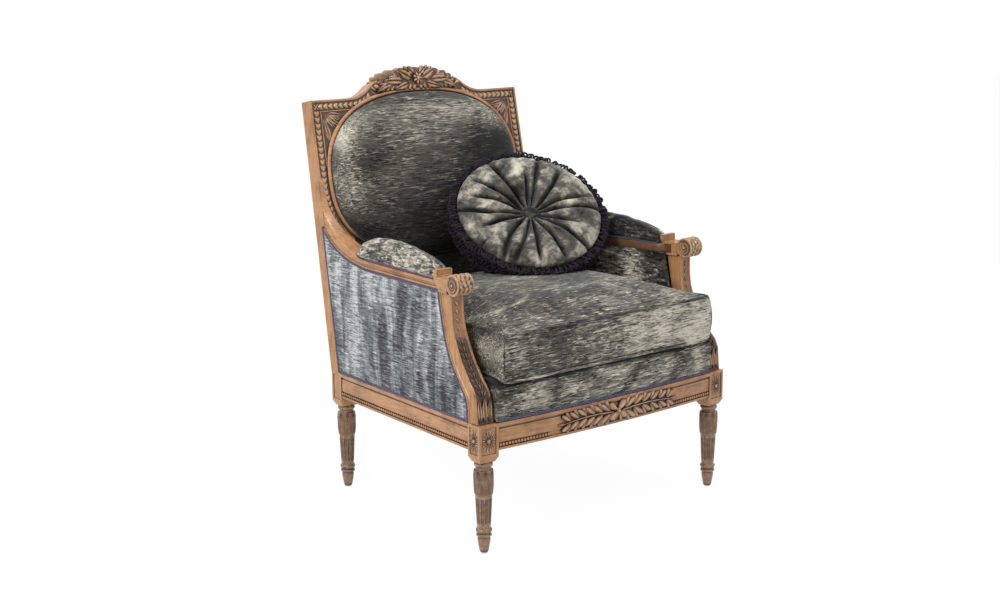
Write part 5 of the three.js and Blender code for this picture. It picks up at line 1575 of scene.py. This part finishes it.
def swell_cloth(piece, cap, held):
    """Lets the filling press a cover out, holds it where it is sewn, and keeps the shape it takes."""
    scene = bpy.context.scene
    view = bpy.context.view_layer
    for other in view.objects:
        other.select_set(False)
    piece.select_set(True)
    view.objects.active = piece
    remesh = piece.modifiers.new("Remesh", "REMESH")
    remesh.mode = "VOXEL"
    remesh.voxel_size = SWELL_VOXEL
    remesh.use_smooth_shade = True
    bpy.ops.object.modifier_apply(modifier=remesh.name)
    start = [vert.co.copy() for vert in piece.data.vertices]
    cloth = piece.modifiers.new("Cloth", "CLOTH")
    cloth.settings.use_pressure = True
    cloth.settings.uniform_pressure_force = SWELL_PRESSURE
    cloth.settings.quality = 5
    cloth.settings.mass = 0.3
    cloth.settings.tension_stiffness = 12
    cloth.settings.compression_stiffness = 12
    cloth.settings.bending_stiffness = 0.6
    cloth.settings.effector_weights.gravity = 0
    sewn = piece.vertex_groups.new(name="sewn")
    sewn.add([index for index, place in enumerate(start) if held(place)], 1.0, "REPLACE")
    cloth.settings.vertex_group_mass = sewn.name
    cloth.point_cache.frame_start = 1
    cloth.point_cache.frame_end = SWELL_FRAMES
    for step in range(1, SWELL_FRAMES + 1):
        scene.frame_set(step)
    bpy.ops.object.modifier_apply(modifier=cloth.name)
    scene.frame_set(1)
    for vert, place in zip(piece.data.vertices, start):
        moved_by = vert.co - place
        if moved_by.length > cap:
            vert.co = place + moved_by.normalized() * cap
    for face in piece.data.polygons:
        face.use_smooth = True
    piece.vertex_groups.clear()


class OBJECT_OT_chair_seat(ChairOperator, bpy.types.Operator):
    """Makes the stuffed platform, the loose seat cushion and its piping"""
    bl_idname = "object.chair_seat"
    bl_label = "Seat"

    def platform(self):
        def rule(p, q, r):
            half = side_half_width(ARM_INSIDE - 0.3, 0)
            front = front_face_y(p * half) + 3 - 5 * (1 - r * r)
            rear = BACK_BASE_Y - 3
            ease = 7 * max(0.0, r) ** 10 * (1 - smooth_step(-1, -0.8, q))
            y = mix(front + ease, rear, (q + 1) / 2)
            x = p * (side_half_width(ARM_INSIDE - 0.3, y) - 0.5)
            z = mix(SEAT_FLOOR + 0.2, PLATFORM_TOP - 0.3, (r + 1) / 2)
            z -= 5 * smooth_step(-0.9, -1.0, q) * max(0.0, r) ** 8
            return (x, y + undulate((x, y, z), 0.02, 0.8), z)
        bm = moved(block_of_cells((24, 18, 10), rule), CHAIR)
        piece = finish_piece(bm, "seat_platform_stuffed", "velvet_seat",
                             nodes=["seat_platform"], sharp=60)
        # Painted shadow: the platform darkens towards its top edge, under the seat cushion.
        paint(piece, CHAIR, lambda x, y, z: 0.3 - 1.2 * smooth_step(PLATFORM_TOP - 16, PLATFORM_TOP - 8, z))

    def cushion(self, sizes):
        shrink = SEAM_INSET
        bm = moved(block_of_cells((36, 36, 10), cushion_rule(shrink)), CHAIR)
        piece = finish_piece(
            bm, "seat_cushion_cover", "velvet_seat", "seat_cushion", ["seat_cushion"],
            sharp=70,
        )
        inverse = CHAIR.inverted()

        def held(place):
            local = inverse @ place
            at_edge = max(abs(share) for share in cushion_shares(local.x, local.y)) > 0.955
            near_top = abs(local.z - (SEAM_TOP - shrink)) < 5 and at_edge
            near_foot = local.z < PLATFORM_TOP + 8
            return near_top or near_foot

        swell_cloth(piece, sizes.sim_cap, held)
        for vert in piece.data.vertices:
            local = inverse @ vert.co
            local.z = min(local.z, seat_top(local.x, local.y) + 1.5)
            level = crowned(clamp((local.z - PLATFORM_TOP) / (SEAM_TOP - PLATFORM_TOP)) * 2 - 1)
            front = smooth_step(-20, -36, local.y)
            middle = smooth_step(230, 120, abs(local.x - 20))
            local.y += front * level * 2.4 * math.sin(local.x * 0.05 + 1.2) * middle
            vert.co = CHAIR @ local

        # Painted light on the cover: a painted highlight along a crease near the front left of the top.
        # Besides, the front boxing is darker at the left and paler at the right, the other boxing plain, and
        # the top darker towards the rear and paler at the right front.
        def painted_light(x, y, z):
            if y < -30 and z < SEAM_TOP + 4:
                return mix(-0.05, 0.95, smooth_step(-140, 120, x))
            if z < SEAM_TOP - 4:
                return 0.1
            crease = math.hypot((x + 205) / 1.1, y - 170)
            pale = math.exp(-((crease - 85) / 7) ** 2) * smooth_step(150, 90, y)
            return (
                0.05 + 0.6 * pale - 0.25 * smooth_step(400, 520, y)
                + 0.3 * smooth_step(150, 260, x) * smooth_step(120, 0, y)
            )
        paint(piece, CHAIR, painted_light)
        wave = piece.modifiers.new("Smooth", "SUBSURF")
        wave.levels = wave.render_levels = 1

    def piping(self, sizes):
        rule = cushion_rule(SEAM_INSET)
        bm = new_form()
        size = sizes.piping / MM
        for r in (1, -1):
            corners = ((-1, -1), (1, -1), (1, 1), (-1, 1))
            path = []
            for (p0, q0), (p1, q1) in zip(corners, corners[1:] + corners[:1]):
                for i in range(30):
                    t = i / 30
                    place = rule(mix(p0, p1, t), mix(q0, q1, t), 0.998 * r)
                    place.z += 0.3 * math.sin(i * 0.9) + (1.5 if r < 0 else 0)
                    path.append(place)
            count = len(path)
            rounded = [(path[i - 1] + path[i] * 2 + path[(i + 1) % count]) / 4 for i in range(count)]
            run(bm, rounded, round_section(size, size, 8), UPWARD, closed=True)
        for p in (-1, 1):
            line = [rule(p, -1, mix(-0.97, 0.97, i / 10)) + Vector((-4.0 * p, 2.5, 0)) for i in range(11)]
            run(bm, line, round_section(3.2, 3.2, 6), Vector((p, 0, 0)))
        piece = finish_piece(moved(bm, CHAIR), "seat_cushion_piping", "velvet_seat",
                             "seat_cushion")
        # Tone: darker along the top piping, darkest on the front corner seams, paler along the bottom piping.
        paint(piece, CHAIR,
              lambda x, y, z: -0.15 if z > SEAM_TOP - 12 else 0.45 if z < PLATFORM_TOP + 12 else -0.6)

    def build(self, sizes, shades, stage):
        self.platform()
        self.cushion(sizes)
        self.piping(sizes)


class OBJECT_OT_chair_back_covers(ChairOperator, bpy.types.Operator):
    """Makes the domed back pad, the outside back, the lining of its foot, and a dark sheet over the lower
    rail that paints shade there
    """
    bl_idname = "object.chair_back_covers"
    bl_label = "Back Covers"

    def build(self, sizes, shades, stage):
        shares = curve_through(DOME_SHARES, 26)
        rows = [(0, -24 + 0.3), (0.985, -24 + 0.3), (0.985, -12)] + [(p.x, 70 * p.y) for p in shares]

        def rule(x, y, z):
            r = math.hypot(x, y)
            oval = oval_point(-0.6, math.atan2(y, x)) - Vector((0, OVAL_CENTRE))
            soft = undulate((oval.x * r, oval.y * r, 0), 0.012, 2.2, 4.0) * (1 - r)
            return (oval.x * r, -z + soft, OVAL_CENTRE + oval.y * r)

        bm = moved(lathe(rows, 96, rule), BACK)
        piece = finish_piece(bm, "back_pad_cover", "velvet_back", nodes=["back_pad"], sharp=60)

        # Painted light: paler over the upper part and along the left edge; painted shade over the lower part
        # and the lower right.
        def painted_light(x, y, w):
            high = smooth_step(500, 590, w) * smooth_step(672, 620, w)
            left = smooth_step(-200, -262, x) * smooth_step(300, 420, w)
            dark = 0.3 * smooth_step(440, 320, w) + 0.75 * smooth_step(0, 170, x) * smooth_step(600, 520, w)
            return clamp(0.8 * high + 0.55 * left - dark - 0.38, -1, 0.9)
        paint(piece, BACK, painted_light)

        # The lining takes the darkest tone: painted shade.
        def lining(p, q, r):
            y = mix(3, 14.6, (q + 1) / 2) - (3.5 * crowned(p, 6) * crowned(r, 6) if q < 0 else 0)
            return (p * 288, y, mix(9.4, 195.5, (r + 1) / 2), -0.8)

        # Dark velvet sheet over the lower rail up to the oval moulding, in the darkest tone: painted shade
        # where the rail lies in shade.
        def shade_sheet(p, q, r):
            x = p * 245
            reach = OVAL_HALF_HEIGHT + OVAL_MOULDING
            top = (
                OVAL_CENTRE
                - reach * (1 - abs(x / (OVAL_HALF_WIDTH + OVAL_MOULDING)) ** OVAL_POWER) ** (1 / OVAL_POWER)
            )
            return (x, mix(-2.6, -0.2, (q + 1) / 2), mix(196.5, top, (r + 1) / 2), -0.8)
        bm = absorb(block_of_cells((24, 1, 10), lining), block_of_cells((30, 1, 4), shade_sheet))
        piece = finish_piece(
            moved(bm, BACK), "lower_back_cover", "velvet_back", nodes=["lower_back_lining"],
            sharp=60,
        )
        self.outside_back()

    def outside_back(self):
        """Outside back: a flat stuffed cover that follows the outline of the frame."""
        bm = new_form()
        face = bm.faces.new([bm.verts.new(place) for place in standing(whole_back_line(24.6, 9.2), 34.4)])
        made = bmesh.ops.extrude_face_region(bm, geom=[face])["geom"]
        bmesh.ops.translate(bm, verts=of_kind(made, bmesh.types.BMVert), vec=(0, -7.6, 0))
        bm.normal_update()
        rear = max(bm.faces, key=lambda item: abs(item.normal.y) * (item.calc_center_median().y))
        for thickness, rise in ((4, 0.42), (18, 0.84), (60, 0.91)):
            bmesh.ops.inset_individual(bm, faces=[rear], thickness=thickness, depth=0)
            bmesh.ops.translate(bm, verts=rear.verts, vec=(0, rise, 0))
        bmesh.ops.triangulate(bm, faces=[item for item in bm.faces if len(item.verts) > 4])
        piece = finish_piece(
            moved(bm, BACK), "outside_back_cover", "velvet_back",
            nodes=["back_outside_panel"], sharp=60,
        )


def side_patch(bottom, overlap):
    """Rule for the field between the four edges of a side, and those edges."""
    front = [Vector((20, bottom)), *REAR_LINE[1:], Vector((130, ARM_UNDERSIDE))]
    front = [p for p in front if p.y >= bottom]
    top = [front[-1], *LOW_SWEEP]
    rear = [Vector((along_side(back_plane_y(bottom), 0) + overlap, bottom)), LOW_SWEEP[-1]]
    low = [front[0], rear[0]]

    def patch(p, q):
        s, t = (p + 1) / 2, (q + 1) / 2
        f, b = point_along(front, t), point_along(rear, t)
        u, d = point_along(top, s), point_along(low, s)
        corners = low[0].lerp(low[1], s).lerp(top[0].lerp(rear[1], s), t)
        return f.lerp(b, s) + d.lerp(u, t) - corners
    return patch, front, top, rear, low


class OBJECT_OT_chair_side_covers(ChairOperator, bpy.types.Operator):
    """Makes the outer and inner side panels and the arm pads"""
    bl_idname = "object.chair_side_covers"
    bl_label = "Side Covers"

    def arm_pad(self, side, matrix):
        front, rear = STOP_REAR + 0.5, 494.0

        def rule(p, q, r):
            along = (q + 1) / 2
            rise = 57 * eased(ARM_PAD_RISE, along)
            y = mix(front, rear, along)
            ends = 1 - 0.1 * abs(min(q, 0)) ** 9
            ends *= max(0.3, math.sqrt(1 - clamp((along - 0.9) / 0.105) ** 2))
            theta = (r + 1) / 2
            across = p * mix(0.93, 1.0, math.sin(math.pi * theta)) * ends
            dome = (1 - abs(p) ** 2.6) ** 0.5
            floor = ARM_TOP + 0.4
            if y > SWEEP_START:
                floor = max(floor,
                            ARM_TOP + SWEEP_RISE * eased(ARM_SWEEP, (y - SWEEP_START) / SWEEP_RUN) + 0.6)
            height = rise * (0.34 * ends + 0.66 * dome) * (1 - 0.35 * abs(q) ** 14)
            bulge = 2.4 * math.sin(math.pi * theta) * (1 if abs(p) > 0.99 else 0)
            x = 1 + across * (25 + bulge)
            z = floor + (height * theta if theta < 1 else height)
            fold = undulate((x, y, z), 0.035, 1.6, 9.0) * theta
            return (x, y + 3.5 * q * math.sin(math.pi * theta) * abs(q) ** 6, z + fold)
        bm = moved(block_of_cells((14, 44, 4), rule), matrix)
        piece = finish_piece(
            bm, f"arm_pad_cover_{side}", "velvet_arm", nodes=[f"arm_pad_{side}"], sharp=70,
        )
        # Painted light and shade: paler on the outer side, darker on the inner side.
        paint(piece, matrix, lambda x, y, z: mix(-0.6, 0.4, smooth_step(-12, 12, x)))
        smooth = piece.modifiers.new("Smooth", "SUBSURF")
        smooth.levels = smooth.render_levels = 1

    def outer_panel(self, side, matrix):
        patch = side_patch(RAIL_TOP + 0.6, 12.5)[0]

        def rule(p, q, r):
            place = patch(p * 0.997, q * 0.997)
            if r < 0:
                return (16.4, place.x, place.y)
            pucker = undulate((0, place.x, place.y), 0.03, 1.4, 2.0)
            return (25 + (5 + pucker) * crowned(p, 4) * crowned(q, 4), place.x, place.y)
        piece = finish_piece(
            moved(block_of_cells((48, 30, 1), rule), matrix), f"outer_side_cover_{side}", "velvet_panel",
            nodes=[f"side_panel_outside_{side}"], sharp=60,
        )
        # Painted light and shade: lighter towards the top and the rear, darker low at the front.
        paint(piece, matrix, lambda x, y, z: (
            0.4 * smooth_step(470, 580, z) + 0.2 * smooth_step(430, 520, y)
            - 0.35 * smooth_step(460, 330, z) * smooth_step(380, 120, y)
        ))

    def inner_panel(self, side, matrix):
        patch = side_patch(PLATFORM_TOP + 0.8, 0)[0]

        def rule(p, q, r):
            place = patch(p * 0.99, q)
            if r < 0:
                return (-12.4, place.x, place.y)
            soft = 7 * crowned(p, 3) * math.sin(math.pi * clamp((q + 1) / 2)) ** 0.7
            return (-23.8 - soft, place.x, place.y)
        bm = moved(block_of_cells((36, 20, 1), rule), matrix)
        cut_away(bm, BACK @ Vector((0, -0.5, 0)), BACK_NORMAL)
        piece = finish_piece(
            bm, f"inner_side_cover_{side}", "velvet_arm", nodes=[f"side_panel_inside_{side}"],
            sharp=60,
        )
        # Painted light low towards the rear; painted shade elsewhere and under the arm rail.
        paint(piece, matrix,
              lambda x, y, z: 0.95 * smooth_step(165, 215, y) * smooth_step(574, 556, z) - 0.45)

    def build(self, sizes, shades, stage):
        for side, matrix in SIDES:
            self.arm_pad(side, matrix)
            self.outer_panel(side, matrix)
            self.inner_panel(side, matrix)


class OBJECT_OT_chair_gimp(ChairOperator, bpy.types.Operator):
    """Lays the twisted gimp along every edge where a cover meets the show-wood"""
    bl_idname = "object.chair_gimp"
    bl_label = "Gimp"

    def build(self, sizes, shades, stage):
        width = sizes.gimp_width / MM

        def cords(form, path, up, closed=False):
            for sign in (1, -1):
                section = [(a + sign * width * 0.26, b)
                           for a, b in round_section(width * 0.54, width * 0.54, 7)]
                run(form, path, section, up, closed, toning=1.0 if sign > 0 else 0.0)

        for side, matrix in SIDES:
            bm = new_form()
            front, top, rear, low = side_patch(RAIL_TOP + 0.6, 10.0)[1:]
            inset = 2.6
            lines = (
                [(p.x + inset, p.y) for p in front], [(p.x, p.y - inset) for p in top],
                [(p.x - inset, p.y) for p in rear], [(p.x, p.y + inset) for p in low],
            )
            for line in lines:
                path = [place for place, _ in evenly([Vector((25.2, x, y)) for x, y in line], 6)]
                cords(bm, path, Vector((1, 0, 0)))
            for out, lean in ((SIDE_FACE - 1.0, 1), (ARM_INSIDE + 1.0, -1)):
                pad = [Vector((out, mix(STOP_REAR + 3, 440, i / 40), ARM_TOP + 2.0)) for i in range(41)]
                cords(bm, pad, Vector((lean, 0, 0.4)))
            finish_piece(moved(bm, matrix), f"side_gimp_{side}", "gimp_cord")
        bm = new_form()
        front_line = []
        for i in range(61):
            x = mix(-1, 1, i / 60) * side_half_width(ARM_INSIDE - 2, 0)
            front_line.append(Vector((x, front_face_y(x) + 0.6, RAIL_TOP + 4.4)))
        cords(bm, front_line, FORWARD)
        finish_piece(moved(bm, CHAIR), "seat_gimp", "gimp_cord")
        bm = new_form()
        cords(bm, standing(oval_line(-2.2, 130), -2.0), FORWARD, True)
        outline = standing(whole_back_line(26.5, 12), 35.2)
        cords(bm, [place for place, _ in evenly(outline, 8)], Vector((0, 1, 0)))
        finish_piece(moved(bm, BACK), "back_gimp", "gimp_cord")


class OBJECT_OT_chair_round_cushion(ChairOperator, bpy.types.Operator):
    """Makes the pleated round cushion, its buttons and its looped fringe"""
    bl_idname = "object.chair_round_cushion"
    bl_label = "Round Cushion"

    def rest(self, bm, spare=0.0):
        """Presses the cushion flat where it rests on the seat, the back and the side."""
        inverse, side = CHAIR.inverted(), RIGHT.inverted()
        for vert in bm.verts:
            local = inverse @ vert.co
            local.z = max(local.z, seat_top(local.x, local.y) + 1.0 + spare)
            local.y = min(local.y, PAD_FRONT_Y - 1.5 - spare)
            place = CHAIR @ local
            beside = side @ place
            limit = CUSHION_OUT + 0.5 - spare + 70 * smooth_step(656, 700, beside.z)
            if beside.x > limit:
                beside.x = limit
                place = RIGHT @ beside
            vert.co = place

    def pleat_crease(self, angle, share, pleats):
        """Depth of the creases at an angle: deep and narrow, some of them only part of the way out."""
        place = angle / TAU * pleats
        index = math.floor(place + 0.5) % pleats
        wander = 0.16 * math.sin(index * 2.4 + share * 2.2) + 0.34 * math.sin(index * 1.7) * share * share
        off = abs((place + wander) - math.floor(place + wander + 0.5))
        reach = 0.62 + 0.42 * abs(math.sin(index * 1.9 + 0.6))
        fade = 1 - smooth_step(reach - 0.15, reach + 0.12, share)
        narrow = mix(0.3, 0.1, smooth_step(0.08, 0.55, share))
        return math.exp(-(off / narrow) ** 2) * fade, math.exp(-(off / 0.36) ** 2)

    def build(self, sizes, shades, stage):
        pleats = sizes.pleats
        face = [
            (ROUND_RADIUS, 0), (181.5, 3.5), (179, 7.5), (174, 11.5), (167, 14.5), (157, 17), (145, 18.8),
            (131, 19.8), (115, 20.2),
            (100, 20), (86, 19.2), (73, 17.8), (61, 15.8), (50, 13.2), (40, 10.2), (31, 7.2), (23, 4.6),
            (16, 2.8), (9, 2), (0, 2),
        ]
        rear = [(0, -68), (10, -68), (30, -72), (70, -78), (110, -80), (140, -79), (158, -75), (167, -68)]
        rim = [(171, -62), (174, -52), (177, -40), (178, -28), (178, -16), (176, -7)]
        rows = rear + rim + face

        def rule(x, y, z):
            r = math.hypot(x, y)
            angle = math.atan2(x, -y - BUTTON_DROP)
            if r < 1e-3:
                return (x, y, z)
            share = math.hypot(x, y + BUTTON_DROP) / ROUND_RADIUS
            if z > -2:
                crease, slope = self.pleat_crease(angle, share, pleats)
                deep = 22 * crease * smooth_step(0.06, 0.3, share) * (1 - 0.5 * smooth_step(0.5, 1.0, share))
                puff = 7 * (1 - slope) * smooth_step(0.15, 0.5, share) * (1 - smooth_step(0.85, 1.03, share))
                gathers = (
                    1.5 * math.sin(angle * pleats * 3 + 1.3 * math.sin(angle * 5))
                    * smooth_step(0.82, 0.95, share)
                )
                z = (
                    z - deep + puff + gathers
                    + undulate((x, y, 0), 0.03, 3.0, 5.0) * smooth_step(0.2, 0.5, share)
                )
                spread = 1 - 0.012 * crease * smooth_step(0.7, 1, share)
                # The tone darkens the creases: painted shade.
                return (x * spread, y * spread, z,
                        clamp(0.25 - 1.8 * crease * smooth_step(0.05, 0.2, share), -1.4, 1))
            if z < -66:
                crease, slope = self.pleat_crease(angle, share, pleats)
                return (x, y,
                        z + 6 * crease * smooth_step(0.1, 0.3, share) * (1 - smooth_step(0.8, 0.95, share)))
            return (x, y, z)

        bm = lathe(rows, 288, rule, ROUND)
        self.rest(bm)
        piece = finish_piece(bm, "round_cushion_cover", "velvet_round", "round_cushion",
                             ["round_cushion"], sharp=75)
        dome = curve_through(((18.6, 0), (19.2, 2.5), (17, 6.6), (11.5, 9.2), (0, 10.2)), 14)
        for label, drop, place, turn in (("front", BUTTON_DROP, 2.4, 0.0), ("back", 0, -68.4, math.pi)):
            rows = [(0, 0)] + [(p.x, p.y) for p in dome]
            bm = lathe(rows, 32, None,
                       ROUND @ Matrix.Translation((0, -drop, place)) @ Matrix.Rotation(turn, 4, "X"))
            finish_piece(
                bm, f"cushion_button_{label}", "velvet_round", "round_cushion",
                [f"round_cushion_button_{label}"],
            )
        self.fringe()

    def fringe(self):
        """Looped fringe: close rows of curled loops round the rim."""
        loops = []
        for kind in range(6):
            form = new_form()
            path = []
            for k in range(8):
                bend = math.pi * k / 7
                path.append(Vector((17 * math.sin(bend), 7 * math.cos(bend),
                                    2.2 * math.sin(bend * 2 + kind))))
            run(form, path, round_section(5.6, 5.6, 5), UPWARD, toning=kind / 9 + 0.01)
            loops.append(bpy.data.meshes.new("fringe_loop"))
            form.to_mesh(loops[-1])
            form.free()
        bm = new_form()
        rows = 6
        count = 150
        for row in range(rows):
            height = mix(-4, -52, row / (rows - 1))
            radius = 185 - 4 * (row / (rows - 1)) ** 2
            for i in range(count):
                seed = noise.noise(Vector((i * 0.73, row * 3.1, 0.5)))
                other = noise.noise(Vector((i * 0.37, row * 1.7, 7.5)))
                angle = (i + 0.5 * (row % 2) + 0.35 * seed) / count * TAU
                place = (
                    Matrix.Rotation(angle, 4, "Z")
                    @ Matrix.Translation((radius + 2 * other, 0, height + 5 * seed))
                )
                turn = Matrix.Rotation(1.8 * other + 0.5 * row, 4, "X") @ Matrix.Rotation(0.9 * seed, 4, "Z")
                copy = loops[(i * 5 + row) % len(loops)].copy()
                copy.transform(ROUND @ place @ turn)
                bm.from_mesh(copy)
                bpy.data.meshes.remove(copy)
        for loop in loops:
            bpy.data.meshes.remove(loop)
        self.rest(bm, 0.2)
        finish_piece(
            bm, "round_cushion_loops", "fringe_loops", "round_cushion", ["round_cushion_fringe"],
            merge=1e-8,
        )


class OBJECT_OT_chair_underside(ChairOperator, bpy.types.Operator):
    """Weaves the webbing of the seat and back and stretches the dust cover under the seat"""
    bl_idname = "object.chair_underside"
    bl_label = "Webbing and Dust Cover"

    def straps(self, name, node, across_at, up_at, width, half_x, half_y, matrix, low):
        bm = new_form()
        thickness = 0.9
        for direction, places in ((0, across_at), (1, up_at)):
            crossing = up_at if direction == 0 else across_at
            for index, middle in enumerate(places):
                ends = half_x(middle) if direction == 0 else half_y(middle)
                path = []
                for i in range(61):
                    t = mix(ends[0], ends[1], i / 60)
                    level = 0.0
                    for k, place in enumerate(crossing):
                        near = math.exp(-((t - place) / (width * 0.55)) ** 2)
                        level += near * (0.5 if (k + index + direction) % 2 else -0.5)
                    height = low + 1.0 + level
                    path.append(Vector((t, middle, height)) if direction == 0
                                else Vector((middle, t, height)))
                run(bm, path, flat_section(width, thickness), UPWARD)
        finish_piece(moved(bm, matrix), name, "jute", nodes=[node], sharp=60)

    def build(self, sizes, shades, stage):
        across = [mix(50, 535, i / 4) for i in range(5)]
        along = [mix(-258, 258, i / 4) for i in range(5)]
        self.straps(
            "seat_webbing_straps", "seat_webbing", across, along, 50,
            lambda y: (-side_half_width(7, y) + 0.5, side_half_width(7, y) - 0.5),
            lambda x: (front_face_y(x) + 18, 586.0), CHAIR, RAIL_TOP + 0.3,
        )
        rows = [OVAL_CENTRE - 110, OVAL_CENTRE, OVAL_CENTRE + 110]
        columns = [-146, 0, 146]
        lay = BACK @ Matrix.Translation((0, 26.3, 0)) @ FACE_FORWARD
        self.straps(
            "back_webbing_straps", "back_webbing", rows, columns, 45,
            lambda w: (-285, 285), lambda x: (OVAL_CENTRE - 205, OVAL_CENTRE + 190), lay, -1.0,
        )
        self.dust_cover()

    def dust_cover(self):
        def rule(p, q):
            y = mix(0, 1, (q + 1) / 2)
            front = front_face_y(p * (LEG_SPAN - 60)) + 9
            place_y = mix(front, 596 - 8, y)
            half = side_half_width(SIDE_FACE - 9, place_y)
            corner = max(0.0, abs(p) - 0.84) / 0.16 * max(0.0, abs(q) - 0.84) / 0.16
            x = p * (half - 62 * corner ** 0.5 if corner > 0 else half)
            place_y -= math.copysign(34 * corner ** 0.5, q) if corner > 0 else 0
            sag = 2.0 * crowned(p, 2) * crowned(q, 2)
            return (x, place_y, RAIL_BOTTOM - 0.6 - sag)
        bm = sheet_of_cells(40, 34, rule)
        moved(bm, CHAIR)
        piece = finish_piece(bm, "dust_cover_cloth", "dust_cambric", nodes=["dust_cover"],
                             sharp=60)
        wall = piece.modifiers.new("Thickness", "SOLIDIFY")
        wall.thickness = 0.0006
        wall.offset = 0


# Stage --------------------------------------------------------------------

FLOOR_SIZE = 14
FLOOR_GLOW = 0.955
ROOM_LIGHT = 0.31
TOP_LAMP_SHARE = 0.48
CAMERA_PLACE = (-2.5567, -3.0018, 1.2754)
CAMERA_TURN = (-40.23, 90 - 11.59, -0.33)


class OBJECT_OT_chair_stage(ChairOperator, bpy.types.Operator):
    """Makes the studio floor, the soft lamps, the white surroundings and the camera"""
    bl_idname = "object.chair_stage"
    bl_label = "Stage"

    def lamp(self, name, place, size, power):
        light = bpy.data.lights.new(name, "AREA")
        light.shape = "RECTANGLE"
        light.size, light.size_y = size
        light.energy = power
        lamp = bpy.data.objects.new(name, light)
        lamp.location = place
        lamp.rotation_euler = (Vector((0, 0, 0.5)) - Vector(place)).to_track_quat("-Z", "Y").to_euler()
        bpy.context.scene.collection.objects.link(lamp)

    def seen_white(self, tree):
        """True for rays from the camera and those that gloss or glass send on."""
        rays = tree.nodes.new("ShaderNodeLightPath").outputs
        seen = math_node(tree, "MAXIMUM", rays["Is Camera Ray"], rays["Is Glossy Ray"])
        return math_node(tree, "MAXIMUM", seen, rays["Is Transmission Ray"])

    def build(self, sizes, shades, stage):
        scene = bpy.context.scene
        bm = new_form()
        bmesh.ops.create_grid(bm, x_segments=1, y_segments=1, size=FLOOR_SIZE)
        mesh = bpy.data.meshes.new("studio_floor")
        bm.to_mesh(mesh)
        bm.free()
        floor = bpy.data.objects.new("studio_floor", mesh)
        scene.collection.objects.link(floor)
        material = bpy.data.materials.new("studio_floor")
        material.use_nodes = True
        tree = material.node_tree
        tree.nodes.clear()
        out = tree.nodes.new("ShaderNodeOutputMaterial")
        plain = tree.nodes.new("ShaderNodeBsdfDiffuse")
        plain.inputs["Color"].default_value = (*stage.floor, 1)
        glow = tree.nodes.new("ShaderNodeEmission")
        glow.inputs["Strength"].default_value = FLOOR_GLOW
        shadow = tree.nodes.new("ShaderNodeBsdfDiffuse")
        shadow.inputs["Color"].default_value = (0.12, 0.12, 0.12, 1)
        both = tree.nodes.new("ShaderNodeAddShader")
        link(tree, glow.outputs[0], both.inputs[0])
        link(tree, shadow.outputs[0], both.inputs[1])
        choice = tree.nodes.new("ShaderNodeMixShader")
        link(tree, self.seen_white(tree), choice.inputs[0])
        link(tree, plain.outputs[0], choice.inputs[1])
        link(tree, both.outputs[0], choice.inputs[2])
        link(tree, choice.outputs[0], out.inputs["Surface"])
        mesh.materials.append(material)

        world = bpy.data.worlds.new("studio")
        scene.world = world
        world.use_nodes = True
        tree = world.node_tree
        back = tree.nodes["Background"]
        back.inputs["Color"].default_value = (1, 1, 1, 1)
        link(tree, ramp_node(tree, self.seen_white(tree), 0.0, 1.0, ROOM_LIGHT, 1.0), back.inputs["Strength"])

        self.lamp("key_softbox", (-3.5, -0.9, 2.5), (1.4, 1.4), stage.key_power)
        self.lamp("fill_softbox", (1.8, -3.4, 1.6), (2.2, 1.6), stage.fill_power)
        self.lamp("top_softbox", (0.2, -0.6, 3.4), (1.4, 1.4), stage.key_power * TOP_LAMP_SHARE)

        camera = bpy.data.cameras.new("photograph_camera")
        camera.lens = stage.lens
        camera.sensor_width = 36
        camera.sensor_fit = "HORIZONTAL"
        camera.clip_end = 60
        viewer = bpy.data.objects.new("photograph_camera", camera)
        yaw, pitch, roll = (math.radians(value) for value in CAMERA_TURN)
        turn = Matrix.Rotation(yaw, 4, "Z") @ Matrix.Rotation(pitch, 4, "X") @ Matrix.Rotation(roll, 4, "Z")
        viewer.matrix_world = Matrix.Translation(CAMERA_PLACE) @ turn
        scene.collection.objects.link(viewer)
        scene.camera = viewer
        scene.view_settings.view_transform = "Standard"


class VIEW3D_PT_chair(bpy.types.Panel):
    """Lists the steps that dress the chair"""
    bl_label = "Armchair"
    bl_idname = "VIEW3D_PT_chair"
    bl_space_type = "VIEW_3D"
    bl_region_type = "UI"
    bl_category = "Armchair"

    def draw(self, context):
        for operator in OPERATORS:
            self.layout.operator(operator.bl_idname)
        for settings in (context.scene.chair_sizes, context.scene.chair_colours, context.scene.chair_stage):
            box = self.layout.box()
            for name in settings.__annotations__:
                box.prop(settings, name)


OPERATORS = (
    OBJECT_OT_chair_finishes, OBJECT_OT_chair_stage, OBJECT_OT_chair_legs, OBJECT_OT_chair_rails,
    OBJECT_OT_chair_arms, OBJECT_OT_chair_carving, OBJECT_OT_chair_seat, OBJECT_OT_chair_back_covers,
    OBJECT_OT_chair_side_covers, OBJECT_OT_chair_gimp, OBJECT_OT_chair_round_cushion,
    OBJECT_OT_chair_underside,
)
CLASSES = (ChairSizes, ChairColours, StageSettings, *OPERATORS, VIEW3D_PT_chair)


def register():
    for item in CLASSES:
        bpy.utils.register_class(item)
    bpy.types.Scene.chair_sizes = PointerProperty(type=ChairSizes)
    bpy.types.Scene.chair_colours = PointerProperty(type=ChairColours)
    bpy.types.Scene.chair_stage = PointerProperty(type=StageSettings)


def unregister():
    del bpy.types.Scene.chair_stage
    del bpy.types.Scene.chair_colours
    del bpy.types.Scene.chair_sizes
    for item in reversed(CLASSES):
        bpy.utils.unregister_class(item)


def main():
    register()
    bpy.ops.object.chair_finishes()
    bpy.ops.object.chair_stage()
    bpy.ops.object.chair_legs()
    bpy.ops.object.chair_rails()
    bpy.ops.object.chair_arms()
    bpy.ops.object.chair_carving()
    bpy.ops.object.chair_seat()
    bpy.ops.object.chair_back_covers()
    bpy.ops.object.chair_side_covers()
    bpy.ops.object.chair_gimp()
    bpy.ops.object.chair_round_cushion()
    bpy.ops.object.chair_underside()


if __name__ == "__main__":
    main()
